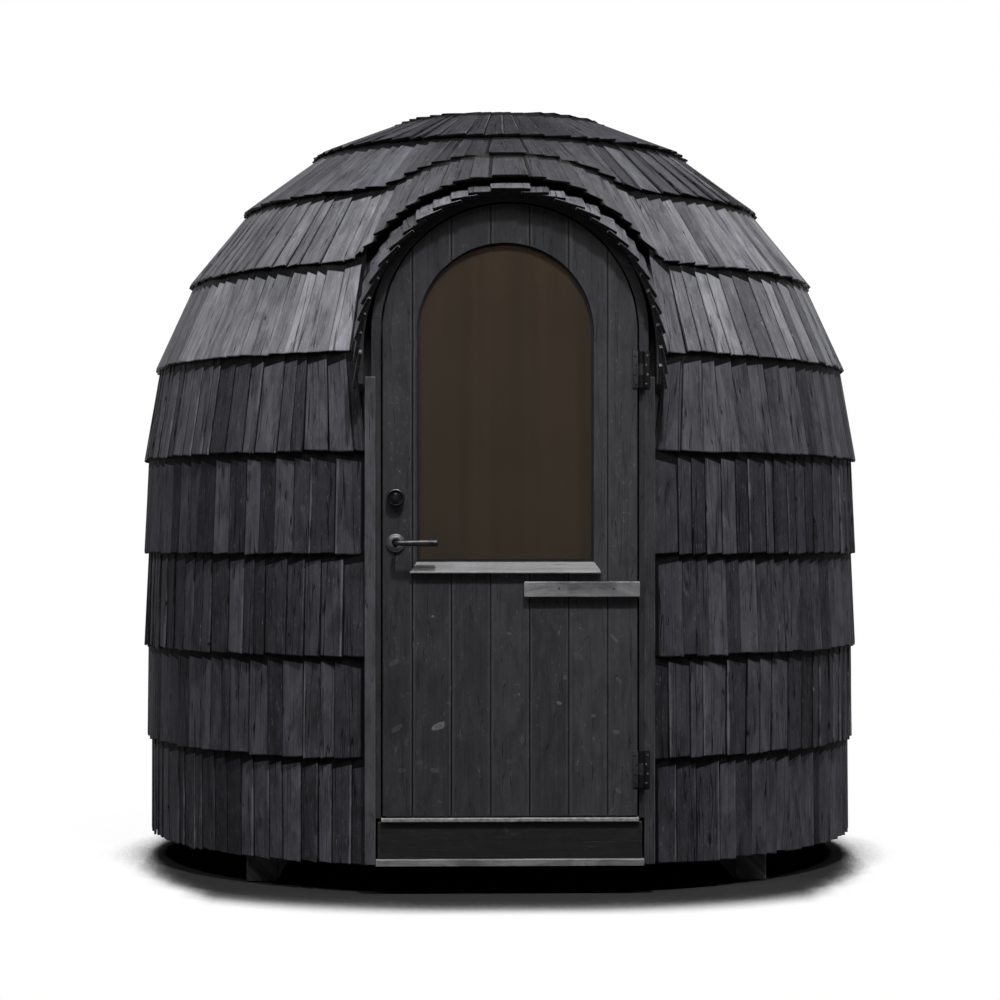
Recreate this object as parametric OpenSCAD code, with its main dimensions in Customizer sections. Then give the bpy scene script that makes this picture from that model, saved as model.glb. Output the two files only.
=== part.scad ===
// Igloo-shaped outdoor sauna cabin: a round wall that rises into a dome, clad in
// wooden shingles, with an arched glazed door under a shingled eyebrow hood.
// Millimetres. Origin: centre of the cabin on the ground. +Z up, the door faces -Y.

/* [Wall and dome] */
// Outer radius of the boarded wall and of the dome above it
wall_r = 1110; // [1000:10:1250]
// Thickness of the wall and dome boarding
wall_t = 60; // [40:2:90]
// Height at which the upright wall ends and the dome begins
spring_z = 1243; // [1180:1:1300]
// How much smaller the wall's radius is at its foot
wall_taper = 22; // [0:1:40]

/* [Base] */
// Height of the two bearers, and of the lowest shingle edge
bearer_h = 85; // [60:1:140]
// Width of each bearer
bearer_w = 92; // [60:1:140]
// Distance between the bearers' centre lines
bearer_gauge = 1418; // [1100:2:1500]
// Height of the round floor rim
rim_h = 95; // [60:1:120]
// Width of the round floor rim
rim_w = 110; // [70:1:160]
// Thickness of the floor deck
deck_t = 24; // [18:1:40]

/* [Shingles] */
// Height of wall that each shingle course leaves open to view
exposure = 287; // [240:1:295]
// Angle of dome that each shingle course leaves open to view
course_angle = 14.5; // [13:0.25:15.5]
// Depth of a course at its lower edge
butt_t = 24; // [16:1:30]
// Depth of a course at its upper edge
tip_t = 12; // [8:1:14]

/* [Door] */
// Width of the door leaf
leaf_w = 710; // [600:2:720]
// Height from the bottom of the leaf to where its arch begins
leaf_side_h = 1352; // [1250:1:1380]
// Thickness of the leaf
leaf_t = 42; // [36:1:50]
// How far the leaf's front face lies behind the wall's foremost line
door_set = 44; // [20:1:70]
// Pitch of the leaf's tongue-and-groove boards
board_pitch = 109; // [80:1:140]
// Width and depth of the groove between two boards
groove = 4; // [2:0.5:6]
// Gap between the leaf and its frame
leaf_gap = 6; // [5.5:0.5:8]

/* [Glass] */
// Width of the window in the leaf
glass_w = 493; // [300:1:540]
// Height from the leaf's bottom to the bottom of the window
glass_bottom_h = 710; // [600:1:900]
// Offset of the window from the leaf's centre line
glass_off = -13; // [-20:1:20]
// Thickness of the sealed pane
pane_t = 16; // [6:1:20]
// Width of the gasket's face
gasket_w = 6; // [4:0.5:10]
// Thickness of the gasket
gasket_t = 28; // [24:1:34]
// Height of the sloped sill under the window
sill_h = 33; // [20:1:45]
// How far the sill stands out at its lower edge
sill_out = 16; // [10:1:30]
// Length of the cross batten under the window
batten_l = 322; // [200:1:330]
// Height of the cross batten
batten_h = 43; // [30:1:60]
// Thickness of the cross batten
batten_t = 18; // [10:1:24]
// Distance of the batten below the sill
batten_drop = 24; // [10:1:60]
// How far the batten runs past the leaf's hinged edge
batten_over = 6; // [0:1:8]

/* [Frame] */
// Thickness of the jambs and of the arched head
jamb_t = 26; // [20:1:40]
// How far the jambs lie behind the leaf's face
frame_set = 6; // [2:1:12]
// Width of the stop that the leaf closes against
stop_w = 13; // [8:1:20]
// Width of the upright trim boards
trim_w = 30; // [20:1:50]
// Thickness of the trim boards
trim_t = 20; // [14:1:30]
// Width of jamb left open to view beside the trim boards
trim_set = 14.5; // [12:0.5:20]
// How far below the start of the door's arch the trim boards end
trim_drop = 128; // [60:1:200]
// Thickness of the threshold
threshold_t = 12; // [8:1:20]
// Depth of the threshold
threshold_w = 110; // [80:1:120]
// Height of the strip under the riser board
strip_h = 20; // [12:1:30]
// Thickness of the strip under the riser board
strip_t = 26; // [18:1:30]

/* [Hood] */
// Gap between the door frame and the hood's eave, on each side
hood_gap = 39; // [30:1:50]
// Room between the hood's boarding and the top of the door frame
soffit_gap = 4; // [2:1:20]
// How far the hood's front edge stands out from the leaf
hood_out = 50; // [40:1:50]
// Thickness of the hood's eave shingles
eave_t = 12; // [8:1:16]
// Thickness of the boarding under the shingles
hood_t = 14; // [10:1:20]
// How far the eave shingles overhang the boarding
hood_over = 26; // [10:1:40]
// How far below the start of the door's arch the hood's legs end
leg_drop = 171; // [140:1:220]
// How much higher the front corner of each leg's foot is
leg_point = 30; // [10:1:60]
// How far course 7 stays behind the hood's front edge
course_set = 50; // [20:1:70]
// How far course 7 stands clear of the eave shingles
course_lift = 10; // [2:1:20]
// How far course 8 bows up over the hood
hood_bow = 2; // [0:1:20]
// Room kept under the courses at the back end of the boarding
shell_room = 10; // [6:1:20]
// How far in front of course 9 the boarding ends
shell_end = 48; // [30:1:100]
// How far the risen courses spread past the hood on each side
hood_flare = 65; // [20:1:80]

/* [Ironmongery] */
// Height of the lower hinge's centre above the leaf's bottom
hinge_up = 129; // [100:1:300]
// Distance of the upper hinge's centre below the start of the door's arch
hinge_drop = 108; // [60:1:300]
// Height of a hinge
hinge_h = 104; // [80:1:140]
// Width of each hinge flap
flap_w = 24; // [16:1:40]
// Thickness of the hinge flaps
flap_t = 3; // [2:0.5:4]
// Radius of the hinge knuckles
knuckle_r = 7; // [6:0.5:9]
// Radius of the hinge pins
pin_r = 3.5; // [3:0.25:4]
// Distance of the hinge pins from the leaf's edge
pin_off = 11; // [9:0.5:12]
// Height of the lever's spindle
lever_z = 982; // [900:1:1050]
// Distance of the spindle from the leaf's free edge
backset = 36; // [34:1:70]
// Length of the lever from its spindle
lever_l = 119; // [90:1:140]
// Height of the lever's arm
lever_h = 19; // [14:1:24]
// Radius of the rose behind the lever
rose_r = 26; // [20:0.5:30]
// Radius of the rose behind the inner lever
inner_rose_r = 23; // [18:0.5:24]
// Thickness of both roses
rose_t = 8; // [5:0.5:12]
// Radius of the lever's spindle
spindle_r = 8.5; // [5:0.5:9]
// Distance from the leaf's face to the middle of the lever's arm
lever_out = 46; // [40:1:60]
// Height of the lock above the lever's spindle
lock_up = 127; // [90:1:140]
// Radius of the lock's ring
lock_r = 25; // [18:0.5:30]
// How far the lock stands out
lock_out = 20; // [10:1:30]
// Width of the lock's rim
lock_rim = 7; // [4:0.5:10]
// Depth of the lock's middle below its rim
lock_deep = 15; // [4:1:16]

/* [Hidden] */
$fn = 96;
round_fn = 288;     // for the wall and dome, which are far larger than the rest

far = 3000;         // reaches past the whole cabin
past = 1;           // how far a cut runs past what it cuts
seat = 0.3;         // gap where faces seat on each other
fit = 1;            // gap behind the shingle courses and round boards
join = 0.1;         // angle left free where a hood course meets its ring
edge_gap = 1;       // room at each end of the threshold and the bottom strip
hinge_gap = 0.5;    // between the knuckles of a hinge, and behind them
spindle_gap = 0.5;  // round the lever's spindle
strip_low = 4;      // how far the bottom strip hangs below the floor rim
strip_out = 6;      // how far the bottom strip stands out from the leaf
threshold_out = 4;  // how far the threshold stands out from the leaf
riser_over = 8;     // how far the riser board runs behind each jamb's face
shell_gap = 3;      // between the eave shingles and the boarding under them
sill_nose = 4;      // height of the sill's upright front edge
sill_top = 3;       // depth of the sill's top, under the glass
rise_flat = 2.6;    // how broad the top of the courses' arch over the hood is
rise_round = 1.3;   // how softly that arch begins at the hood's sides
rise_forward = 0.7; // how early the courses come forward on their way up

rim_top_z = bearer_h + rim_h;
deck_top_z = rim_top_z + deck_t;
threshold_top_z = deck_top_z + threshold_t;
leaf_bottom_z = threshold_top_z + leaf_gap;
leaf_r = leaf_w / 2;
leaf_spring_z = leaf_bottom_z + leaf_side_h;
door_y = wall_r - door_set;
frame_r = leaf_r + leaf_gap;    // inner face of the jambs
frame_out_r = frame_r + jamb_t; // outer face of the jambs
frame_y = door_y - frame_set;
stop_y = -door_y + leaf_t + leaf_gap;
trim_in_x = frame_r + trim_set;
trim_out_x = trim_in_x + trim_w;
trim_top_z = leaf_spring_z - trim_drop;
riser_z = bearer_h + strip_h - strip_low;
glass_r = glass_w / 2;
glass_z = leaf_bottom_z + glass_bottom_h;
glass_side_h = leaf_spring_z - glass_z;
pin_x = leaf_r + pin_off;
pin_y = door_y + knuckle_r + hinge_gap;
hinge_low_z = leaf_bottom_z + hinge_up;
hinge_high_z = leaf_spring_z - hinge_drop;
lever_x = backset - leaf_r;
hood_r = frame_out_r + hood_gap;
hood_low_z = leaf_spring_z + frame_out_r + soffit_gap + hood_t + shell_gap;
hood_leg_z = leaf_spring_z - leg_drop;
hood_side = hood_r + eave_t;
hood_angle = asin((hood_side + hood_flare) / wall_r);
lip_y = door_y + hood_out;
wood_dark = [0.17, 0.17, 0.18];
wood_black = [0.11, 0.11, 0.12];
wood_door = [0.19, 0.19, 0.2];
wood_trim = [0.32, 0.32, 0.33];
wood_worn = [0.5, 0.5, 0.5];
wood_inside = [0.62, 0.47, 0.31];
metal = [0.62, 0.62, 0.6];
tinted_glass = [0.25, 0.21, 0.17];
rubber = [0.06, 0.06, 0.06];

// Height of the lower edge of course k, on the upright wall (1 to 5)
function course_z(k) = k == 1 ? bearer_h : spring_z - (5 - k) * exposure;
// Radius of the boarded wall at height z: it tapers below course 3
function wall_at(z) =
    wall_r - wall_taper * max(0, (course_z(3) - z) / (course_z(3) - bearer_h));
// Angle above the springing at which course k begins, on the dome (5 to 10)
function course_a(k) = (k - 5) * course_angle;
// Point [radius, height] on the line of course k, off mm outside the boarding
// and back mm below the line
function line(k, off, back = 0) =
    k <= 5 ? [wall_at(course_z(k) - back) + off, course_z(k) - back]
    : let (a = course_a(k) - back / wall_r * 180 / PI, r = wall_r + off)
      [r * cos(a), spring_z + r * sin(a)];
last_course = 10;
crown = [0, spring_z + wall_r];

// ---- Base ----

module bearer(side) {
    half = sqrt(pow(wall_at(bearer_h), 2) - pow(bearer_gauge / 2 + bearer_w / 2, 2));
    color(wood_black)
        translate([side * bearer_gauge / 2 - bearer_w / 2, -half, 0])
            cube([bearer_w, 2 * half, bearer_h]);
}

module floor_rim() {
    color(wood_black) difference() {
        rotate_extrude($fn = round_fn) polygon([
            [wall_at(bearer_h), bearer_h], [wall_at(rim_top_z), rim_top_z],
            [wall_at(rim_top_z) - rim_w, rim_top_z], [wall_at(rim_top_z) - rim_w, bearer_h]]);
        door_cut(frame_out_r, frame_y - trim_t, far);
    }
}

module floor_deck() {
    nose = frame_r - stop_w - fit;
    color(wood_inside) translate([0, 0, rim_top_z]) {
        cylinder(r = wall_at(rim_top_z) - wall_t - fit, h = deck_t, $fn = round_fn);
        translate([-nose, trim_t - frame_y, 0]) cube([2 * nose, frame_y - trim_t, deck_t]);
    }
}

// Everything in front of y = -depth that is narrower than 2 * half_w
module door_cut(half_w, depth, height) {
    translate([-half_w, -far, -past]) cube([2 * half_w, far - depth, height + past]);
}

// ---- Wall and dome ----

module quarter(start) {
    rotate([0, 0, start]) rotate_extrude(angle = 90, $fn = round_fn) children();
}

module wall_profile() {
    polygon([[wall_at(rim_top_z), rim_top_z], line(3, 0), line(5, 0),
             line(5, -wall_t), line(3, -wall_t), [wall_at(rim_top_z) - wall_t, rim_top_z]]);
}

module dome_profile() {
    polygon(concat([for (k = [5:last_course]) line(k, 0)], [crown, crown - [0, wall_t]],
                   [for (k = [last_course:-1:5]) line(k, -wall_t)]));
}

// The doorway through the wall and dome, as wide as 2 * r, arched above the springing
module doorway(r, from_z) {
    translate([-r, -far, from_z]) cube([2 * r, far, leaf_spring_z - from_z]);
    translate([0, 0, leaf_spring_z]) rotate([90, 0, 0]) cylinder(r = r, h = far);
}

module wall_part(start) {
    color(wood_inside) difference() {
        quarter(start) wall_profile();
        if (start >= 180) doorway(frame_out_r, -past);
    }
}

module dome_part(start) {
    color(wood_inside) difference() {
        quarter(start) dome_profile();
        if (start >= 180) doorway(frame_out_r + seat, -past);
    }
}

// The whole cabin as one closed form, off mm outside its boarding
module cabin_form(off) {
    rotate_extrude($fn = round_fn) polygon(concat([[0, bearer_h], line(1, off), line(3, off)],
                                    [for (k = [5:last_course]) line(k, off)],
                                    [crown + [0, off]]));
}

// ---- Shingle courses ----

module course_profile(k) {
    top = k == last_course ? [crown + [0, tip_t], crown + [0, fit]]
        : [line(k + 1, tip_t, seat), line(k + 1, fit, seat)];
    polygon(concat([line(k, fit), line(k, butt_t)], top));
}

module wall_course(k) {
    color(wood_dark) difference() {
        rotate_extrude($fn = round_fn) course_profile(k);
        door_cut(trim_out_x + seat, 0, far);
        intersection() {
            tunnel(eave_t + fit);
            translate([-far / 2, -far, hood_leg_z - seat]) cube([far, far, far]);
        }
    }
}

// A course of the dome that stops at both sides of the hood
module open_course(k) {
    color(wood_dark)
        rotate([0, 0, hood_angle - 90])
            rotate_extrude(angle = 360 - 2 * hood_angle, $fn = round_fn) course_profile(k);
}

module ring_course(k) {
    color(wood_dark) rotate_extrude($fn = round_fn) course_profile(k);
}

// ---- Hood ----

hood_back = line(9, 0); // where course 9 begins
hood_slope = atan((hood_back[1] - shell_room - hood_low_z) / (frame_y - hood_back[0]));
hood_crown_z = hood_low_z - (lip_y - frame_y) * tan(hood_slope);
hood_z = hood_crown_z - hood_r / cos(hood_slope); // middle of the arch, at the front
// Where course 7 begins over the middle of the door
hood_front = [lip_y - course_set, hood_crown_z + (eave_t + course_lift) / cos(hood_slope)
              + course_set * tan(hood_slope)];
// How far courses 7 and 8 come forward and rise over the middle of the door
lift_7 = hood_front - line(7, 0);
lift_8 = (hood_front + hood_back) / 2 + [0, hood_bow] - line(8, 0);
function lift(k) =
    k == 7 ? [max(0, lift_7[0]), max(0, lift_7[1])]
    : k == 8 ? [max(0, lift_8[0]), max(0, lift_8[1])] : [0, 0];

// A sloped arched tunnel over the doorway, grow mm outside the eave's inner face
module tunnel(grow) {
    r = hood_r + grow;
    translate([0, -lip_y, hood_z]) rotate([hood_slope - 90, 0, 0])
        translate([0, 0, -hood_r]) {
            cylinder(r = r, h = hood_r + lip_y);
            translate([-r, 0, 0]) cube([2 * r, 2 * hood_r, hood_r + lip_y]);
        }
}

module hood_shell() {
    long = lip_y - hood_over - hood_back[0] - shell_end;
    color(wood_black) difference() {
        intersection() {
            tunnel(-shell_gap);
            translate([-far / 2, hood_over - lip_y, hood_leg_z]) cube([far, long, far]);
        }
        tunnel(-shell_gap - hood_t);
        cabin_form(seat);
        leg_cut();
    }
}

// Cuts the feet of the legs on a slant
module leg_cut() {
    reach = lip_y - surface_y(hood_r, hood_leg_z);
    translate([0, -lip_y, hood_leg_z]) rotate([90, 0, 90])
        linear_extrude(2 * hood_side + 2 * past, center = true)
            polygon([[-past, -past], [reach, -past], [reach, 0], [-past, leg_point]]);
}

// Radius of the boarding's outside at height z
function surface_r(z) = z < spring_z ? wall_r + fit
    : sqrt(pow(wall_r + fit, 2) - pow(z - spring_z, 2));
// Distance of that surface in front of the cabin's centre, at x
function surface_y(x, z) = sqrt(pow(surface_r(z), 2) - pow(x, 2));

// Share of the full rise at t, where t runs from -1 to 1 across the hood
function rise(t) = pow(1 - pow(min(1, abs(t)), rise_flat), rise_round);
steps = 64;
// Point on course line k over the hood, inside face, at t
function hood_point(k, t, off, back = 0) =
    let (p = line(k, off, back), a = t * (hood_angle - join), up = lift(k))
    [p[0] * sin(a), -p[0] * cos(a) - up[0] * pow(rise(t), rise_forward), p[1] + up[1] * rise(t)];
function unit(v) = v / norm(v);
// Outward direction at step i of a strip between lines a and b
function outward(a, b, i) = unit(cross(a[i + 1] - a[i - 1], b[i] - a[i]));
// Outward direction of ring course k, at t
function ring_out(k, t) = let (a = course_a(k), turn = t * (hood_angle - join))
    [cos(a) * sin(turn), -cos(a) * cos(turn), sin(a)];
hood_ts = [for (i = [0:steps]) 2 * i / steps - 1];
// Outward directions along the lower edge of hood course k
function course_out(k) =
    let (a = [for (t = hood_ts) hood_point(k, t, fit)],
         b = [for (t = hood_ts) hood_point(k + 1, t, fit)])
    [for (i = [0:steps]) k > 8 || i == 0 || i == steps ? ring_out(k, hood_ts[i])
        : outward(a, b, i)];

// A bent board from line a to line b, and from there out to lines c and d
module strip(a, b, c, d) {
    n = len(a);
    points = [for (i = [0:n - 1]) each [a[i], c[i], d[i], b[i]]];
    faces = concat([[3, 2, 1, 0]], [[4 * n - 4, 4 * n - 3, 4 * n - 2, 4 * n - 1]],
        [for (i = [0:n - 2], j = [0:3]) each
            let (p = 4 * i + j, q = 4 * i + (j + 1) % 4, r = p + 4, s = q + 4)
            [[p, s, r], [p, q, s]]]);
    polyhedron(points, faces, convexity = 6);
}

module hood_course(k) {
    low = [for (t = hood_ts) hood_point(k, t, fit)];
    high = [for (t = hood_ts) hood_point(k + 1, t, fit, 2 * fit)];
    low_out = course_out(k);
    high_out = course_out(k + 1);
    color(wood_dark) strip(low, high,
        [for (i = [0:steps])
            low[i] + low_out[i] * (butt_t - fit - (butt_t - tip_t) * rise(hood_ts[i]))],
        [for (i = [0:steps]) high[i] + high_out[i] * (tip_t - fit)]);
}

// Front edge of the eave shingles: up one leg, over the arch and down the other
leg_steps = 4;
arch_steps = 48;
eave_ids = [0:2 * leg_steps + arch_steps];
function eave_front(i, grow = 0) =
    let (leg = hood_z - hood_leg_z, r = hood_r + grow)
    i < leg_steps ? [-r, -lip_y, hood_leg_z + leg * i / leg_steps]
    : i > leg_steps + arch_steps
        ? [r, -lip_y, hood_z - leg * (i - leg_steps - arch_steps) / leg_steps]
    : let (a = 180 - 180 * (i - leg_steps) / arch_steps)
      [r * cos(a), -lip_y, hood_z + r / cos(hood_slope) * sin(a)];

// Back edge: straight back up the hood's slope, to the boarded wall or under course 7
function eave_back(i, grow = 0) =
    let (p = eave_front(i, grow), up = tan(hood_slope),
         t = min(1, asin(min(1, abs(eave_front(i)[0]) / line(7, fit)[0])) / hood_angle),
         under = lip_y + hood_point(7, t, fit)[1] - fit,
         a = 1 + up * up, b = lip_y - up * (p[2] - spring_z),
         c = pow(lip_y, 2) + pow(p[0], 2) + pow(p[2] - spring_z, 2) - pow(wall_r + fit, 2),
         dome = (b - sqrt(b * b - a * c)) / a,
         wall = lip_y - surface_y(p[0], 0), // where it would meet the upright wall
         d = min(under, p[2] + up * wall < spring_z ? wall : dome))
    [p[0], p[1] + d, p[2] + up * d];

module hood_eave_course() {
    color(wood_dark) difference() {
        strip([for (i = eave_ids) eave_front(i)], [for (i = eave_ids) eave_back(i)],
            [for (i = eave_ids) eave_front(i, eave_t)], [for (i = eave_ids) eave_back(i, eave_t)]);
        leg_cut();
    }
}

// ---- Door frame ----

module upright(profile_side) {
    color(wood_black) difference() {
        translate([0, 0, threshold_top_z]) linear_extrude(leaf_spring_z - threshold_top_z)
            scale_x(profile_side) polygon([
                [frame_r, -frame_y], [frame_out_r, -frame_y], [frame_out_r, 0],
                [frame_r - stop_w, 0], [frame_r - stop_w, stop_y],
                [frame_r, stop_y]]);
        cabin_form(-wall_t);
    }
}

module scale_x(side) {
    if (side < 0) mirror([1, 0]) children();
    else children();
}

module frame_head() {
    color(wood_black) difference() {
        translate([0, -frame_y, leaf_spring_z]) rotate([-90, 0, 0]) difference() {
            cylinder(r = frame_out_r, h = frame_y);
            translate([0, 0, -past]) cylinder(r = frame_r, h = frame_y + stop_y + past);
            translate([0, 0, -past]) cylinder(r = frame_r - stop_w, h = far);
            translate([-far / 2, 0, -past]) cube([far, far, far]);
        }
        cabin_form(-wall_t);
    }
}

module trim(side) {
    color(wood_trim) difference() {
        translate([side > 0 ? trim_in_x : -trim_out_x, -door_y, bearer_h])
            cube([trim_w, door_y, trim_top_z - bearer_h]);
        cabin_form(seat);
        translate([-frame_out_r - seat, -frame_y, 0])
            cube([2 * (frame_out_r + seat), far, far]);
    }
}

module threshold() {
    color(metal)
        translate([edge_gap - frame_r, -door_y - threshold_out, deck_top_z])
            cube([2 * (frame_r - edge_gap), threshold_w, threshold_t]);
}

module riser_board() {
    color(wood_black)
        translate([-frame_r - riser_over, -frame_y, riser_z])
            cube([2 * (frame_r + riser_over), trim_t - seat, deck_top_z - riser_z]);
}

module base_strip() {
    color(wood_trim)
        translate([edge_gap - trim_in_x, -door_y - strip_out, bearer_h - strip_low])
            cube([2 * (trim_in_x - edge_gap), strip_t, strip_h]);
}

// ---- Hinges ----

module hinge_part(z, side) {
    third = hinge_h / 3;
    back = pin_y - door_y - flap_t;
    inner = knuckle_r + fit;
    translate([pin_x, -pin_y, z - hinge_h / 2]) {
        if (side > 0) {
            cylinder(r = pin_r, h = hinge_h);
            for (up = [0, 2 * third + hinge_gap]) translate([0, 0, up]) {
                cylinder(r = knuckle_r, h = third - hinge_gap);
                translate([0, back, 0]) cube([inner + fit, flap_t, third - hinge_gap]);
            }
            translate([inner, back, 0]) cube([flap_w - inner, flap_t, hinge_h]);
        } else difference() {
            union() {
                translate([0, 0, third]) cylinder(r = knuckle_r, h = third);
                translate([-inner - fit, back, third]) cube([inner + fit, flap_t, third]);
                translate([-flap_w, back, 0]) cube([flap_w - inner, flap_t, hinge_h]);
            }
            translate([0, 0, third - past]) cylinder(r = pin_r + seat, h = third + 2 * past);
        }
    }
}

module hinges(side) {
    color(wood_black) {
        hinge_part(hinge_low_z, side);
        hinge_part(hinge_high_z, side);
    }
}

// ---- Door ----

// Outline of the leaf or of its window: a rectangle with a round arch
module arch(r, side_h) {
    translate([-r, 0]) square([2 * r, side_h]);
    translate([0, side_h]) circle(r = r);
}

// Stands an outline up in the door's plane, depth mm behind the leaf's face
module stand_up(depth, thick, z) {
    translate([0, -door_y + depth + thick, z])
        rotate([90, 0, 0]) linear_extrude(thick) children();
}

module door_leaf() {
    boards = floor(leaf_r / board_pitch + 0.5);
    color(wood_door) difference() {
        stand_up(0, leaf_t, leaf_bottom_z) arch(leaf_r, leaf_side_h);
        translate([glass_off, 0, 0]) stand_up(-past, leaf_t + 2 * past, glass_z)
            arch(glass_r, glass_side_h);
        for (i = [-boards:boards - 1])
            translate([(i + 0.5) * board_pitch - groove / 2, -door_y - groove / 2,
                       leaf_bottom_z - past])
                cube([groove, groove, leaf_side_h + leaf_r + 2 * past]);
        translate([lever_x, -door_y - past, lever_z]) rotate([-90, 0, 0])
            cylinder(r = spindle_r + spindle_gap, h = leaf_t + 2 * past);
    }
}

module glass_pane() {
    edge = gasket_w / 2 + seat;
    color(tinted_glass)
        translate([glass_off, 0, 0])
            stand_up((leaf_t - pane_t) / 2, pane_t, glass_z + edge)
                arch(glass_r - edge, glass_side_h - edge);
}

module glass_gasket() {
    slot = gasket_w / 2;
    color(rubber)
        translate([glass_off, 0, 0]) difference() {
            stand_up((leaf_t - gasket_t) / 2, gasket_t, glass_z + seat)
                arch(glass_r - seat, glass_side_h - seat);
            stand_up(0, leaf_t, glass_z + gasket_w)
                arch(glass_r - gasket_w, glass_side_h - gasket_w);
            stand_up((leaf_t - pane_t) / 2 - seat / 2, pane_t + seat, glass_z + slot)
                arch(glass_r - slot, glass_side_h - slot);
        }
}

module glass_sill() {
    over = glass_r + sill_out + sill_nose; // half length at the lower edge
    color(wood_worn)
        translate([glass_off, -door_y, glass_z - sill_h - fit]) intersection() {
            rotate([90, 0, 0]) linear_extrude(sill_out)
                polygon([[-over, 0], [over, 0], [glass_r, sill_h], [-glass_r, sill_h]]);
            rotate([90, 0, 90]) linear_extrude(far, center = true)
                polygon([[0, 0], [-sill_out, 0], [-sill_out, sill_nose],
                         [-sill_top, sill_h], [0, sill_h]]);
        }
}

module door_batten() {
    color(wood_trim)
        translate([leaf_r + batten_over - batten_l, -door_y - batten_t,
                   glass_z - sill_h - batten_drop - batten_h])
            cube([batten_l, batten_t, batten_h]);
}

module lock_cylinder() {
    color(metal)
        translate([lever_x, -door_y, lever_z + lock_up]) rotate([90, 0, 0]) difference() {
            cylinder(r = lock_r, h = lock_out);
            translate([0, 0, lock_out - lock_deep])
                cylinder(r = lock_r - lock_rim, h = lock_out);
        }
}

// Ring round the lever's spindle, on the outer or the inner face of the leaf
module rose(r, behind) {
    color(metal)
        translate([lever_x, -door_y + behind, lever_z]) rotate([90, 0, 0]) difference() {
            cylinder(r = r, h = rose_t);
            translate([0, 0, -past])
                cylinder(r = spindle_r + spindle_gap + seat, h = rose_t + 2 * past);
        }
}

module lever_arm(out) {
    end_r = lever_h / 2;
    translate([0, 0, out]) {
        rotate([0, 90, 0]) cylinder(r = end_r, h = lever_l - end_r);
        sphere(r = end_r);
        translate([lever_l - end_r, 0, 0]) sphere(r = end_r);
    }
}

module lever_handle() {
    color(metal)
        translate([lever_x, -door_y, lever_z]) rotate([90, 0, 0]) {
            translate([0, 0, -leaf_t - lever_out]) cylinder(r = spindle_r, h = leaf_t + 2 * lever_out);
            lever_arm(lever_out);
            lever_arm(-leaf_t - lever_out);
        }
}

bearer(-1);  // bearer_left
bearer(1);  // bearer_right
floor_rim();
floor_deck();
wall_part(180);  // wall_front_left
wall_part(270);  // wall_front_right
wall_part(90);  // wall_back_left
wall_part(0);  // wall_back_right
dome_part(180);  // dome_front_left
dome_part(270);  // dome_front_right
dome_part(90);  // dome_back_left
dome_part(0);  // dome_back_right
wall_course(1);  // course_1
wall_course(2);  // course_2
wall_course(3);  // course_3
wall_course(4);  // course_4
wall_course(5);  // course_5
wall_course(6);  // course_6
open_course(7);  // course_7
open_course(8);  // course_8
ring_course(9);  // course_9
ring_course(10);  // course_cap
hood_shell();
hood_eave_course();
hood_course(7);  // hood_course_7
hood_course(8);  // hood_course_8
upright(-1);  // jamb_left
upright(1);  // jamb_right
frame_head();
trim(-1);  // trim_left
trim(1);  // trim_right
threshold();
riser_board();
base_strip();
hinges(1);  // hinges_frame
door_leaf();
glass_pane();
glass_gasket();
glass_sill();
door_batten();
lock_cylinder();
rose(rose_r, 0);  // handle_rose
rose(inner_rose_r, leaf_t + rose_t);  // inner_rose
hinges(-1);  // hinges_leaf
lever_handle();
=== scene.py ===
import bpy
import math
import random
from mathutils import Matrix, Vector


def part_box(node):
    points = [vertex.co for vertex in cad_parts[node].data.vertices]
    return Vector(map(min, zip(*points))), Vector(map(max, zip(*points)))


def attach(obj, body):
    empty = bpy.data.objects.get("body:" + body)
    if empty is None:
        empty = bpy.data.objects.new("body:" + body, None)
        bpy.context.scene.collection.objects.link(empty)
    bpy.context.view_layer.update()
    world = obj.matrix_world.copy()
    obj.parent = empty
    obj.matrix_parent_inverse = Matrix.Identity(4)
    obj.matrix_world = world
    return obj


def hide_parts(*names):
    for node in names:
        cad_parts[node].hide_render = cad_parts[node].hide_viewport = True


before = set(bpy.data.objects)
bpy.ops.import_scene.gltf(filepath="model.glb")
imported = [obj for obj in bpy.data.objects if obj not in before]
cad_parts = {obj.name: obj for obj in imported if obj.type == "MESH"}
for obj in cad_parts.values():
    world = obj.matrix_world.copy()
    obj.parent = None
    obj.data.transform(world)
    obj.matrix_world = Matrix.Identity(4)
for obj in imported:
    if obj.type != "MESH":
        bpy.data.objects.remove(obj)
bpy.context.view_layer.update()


# A wire is one output of a node: sums on it add Math nodes
class Wire:
    def __init__(self, paint, socket):
        self.paint = paint
        self.socket = socket

    def __add__(self, other):
        return self.paint.maths("ADD", self, other)

    def __radd__(self, other):
        return self.paint.maths("ADD", other, self)

    def __sub__(self, other):
        return self.paint.maths("SUBTRACT", self, other)

    def __rsub__(self, other):
        return self.paint.maths("SUBTRACT", other, self)

    def __mul__(self, other):
        return self.paint.maths("MULTIPLY", self, other)

    def __rmul__(self, other):
        return self.paint.maths("MULTIPLY", other, self)

    def __gt__(self, other):
        return self.paint.maths("GREATER_THAN", self, other)

    def __abs__(self):
        return self.paint.maths("ABSOLUTE", self)


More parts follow.
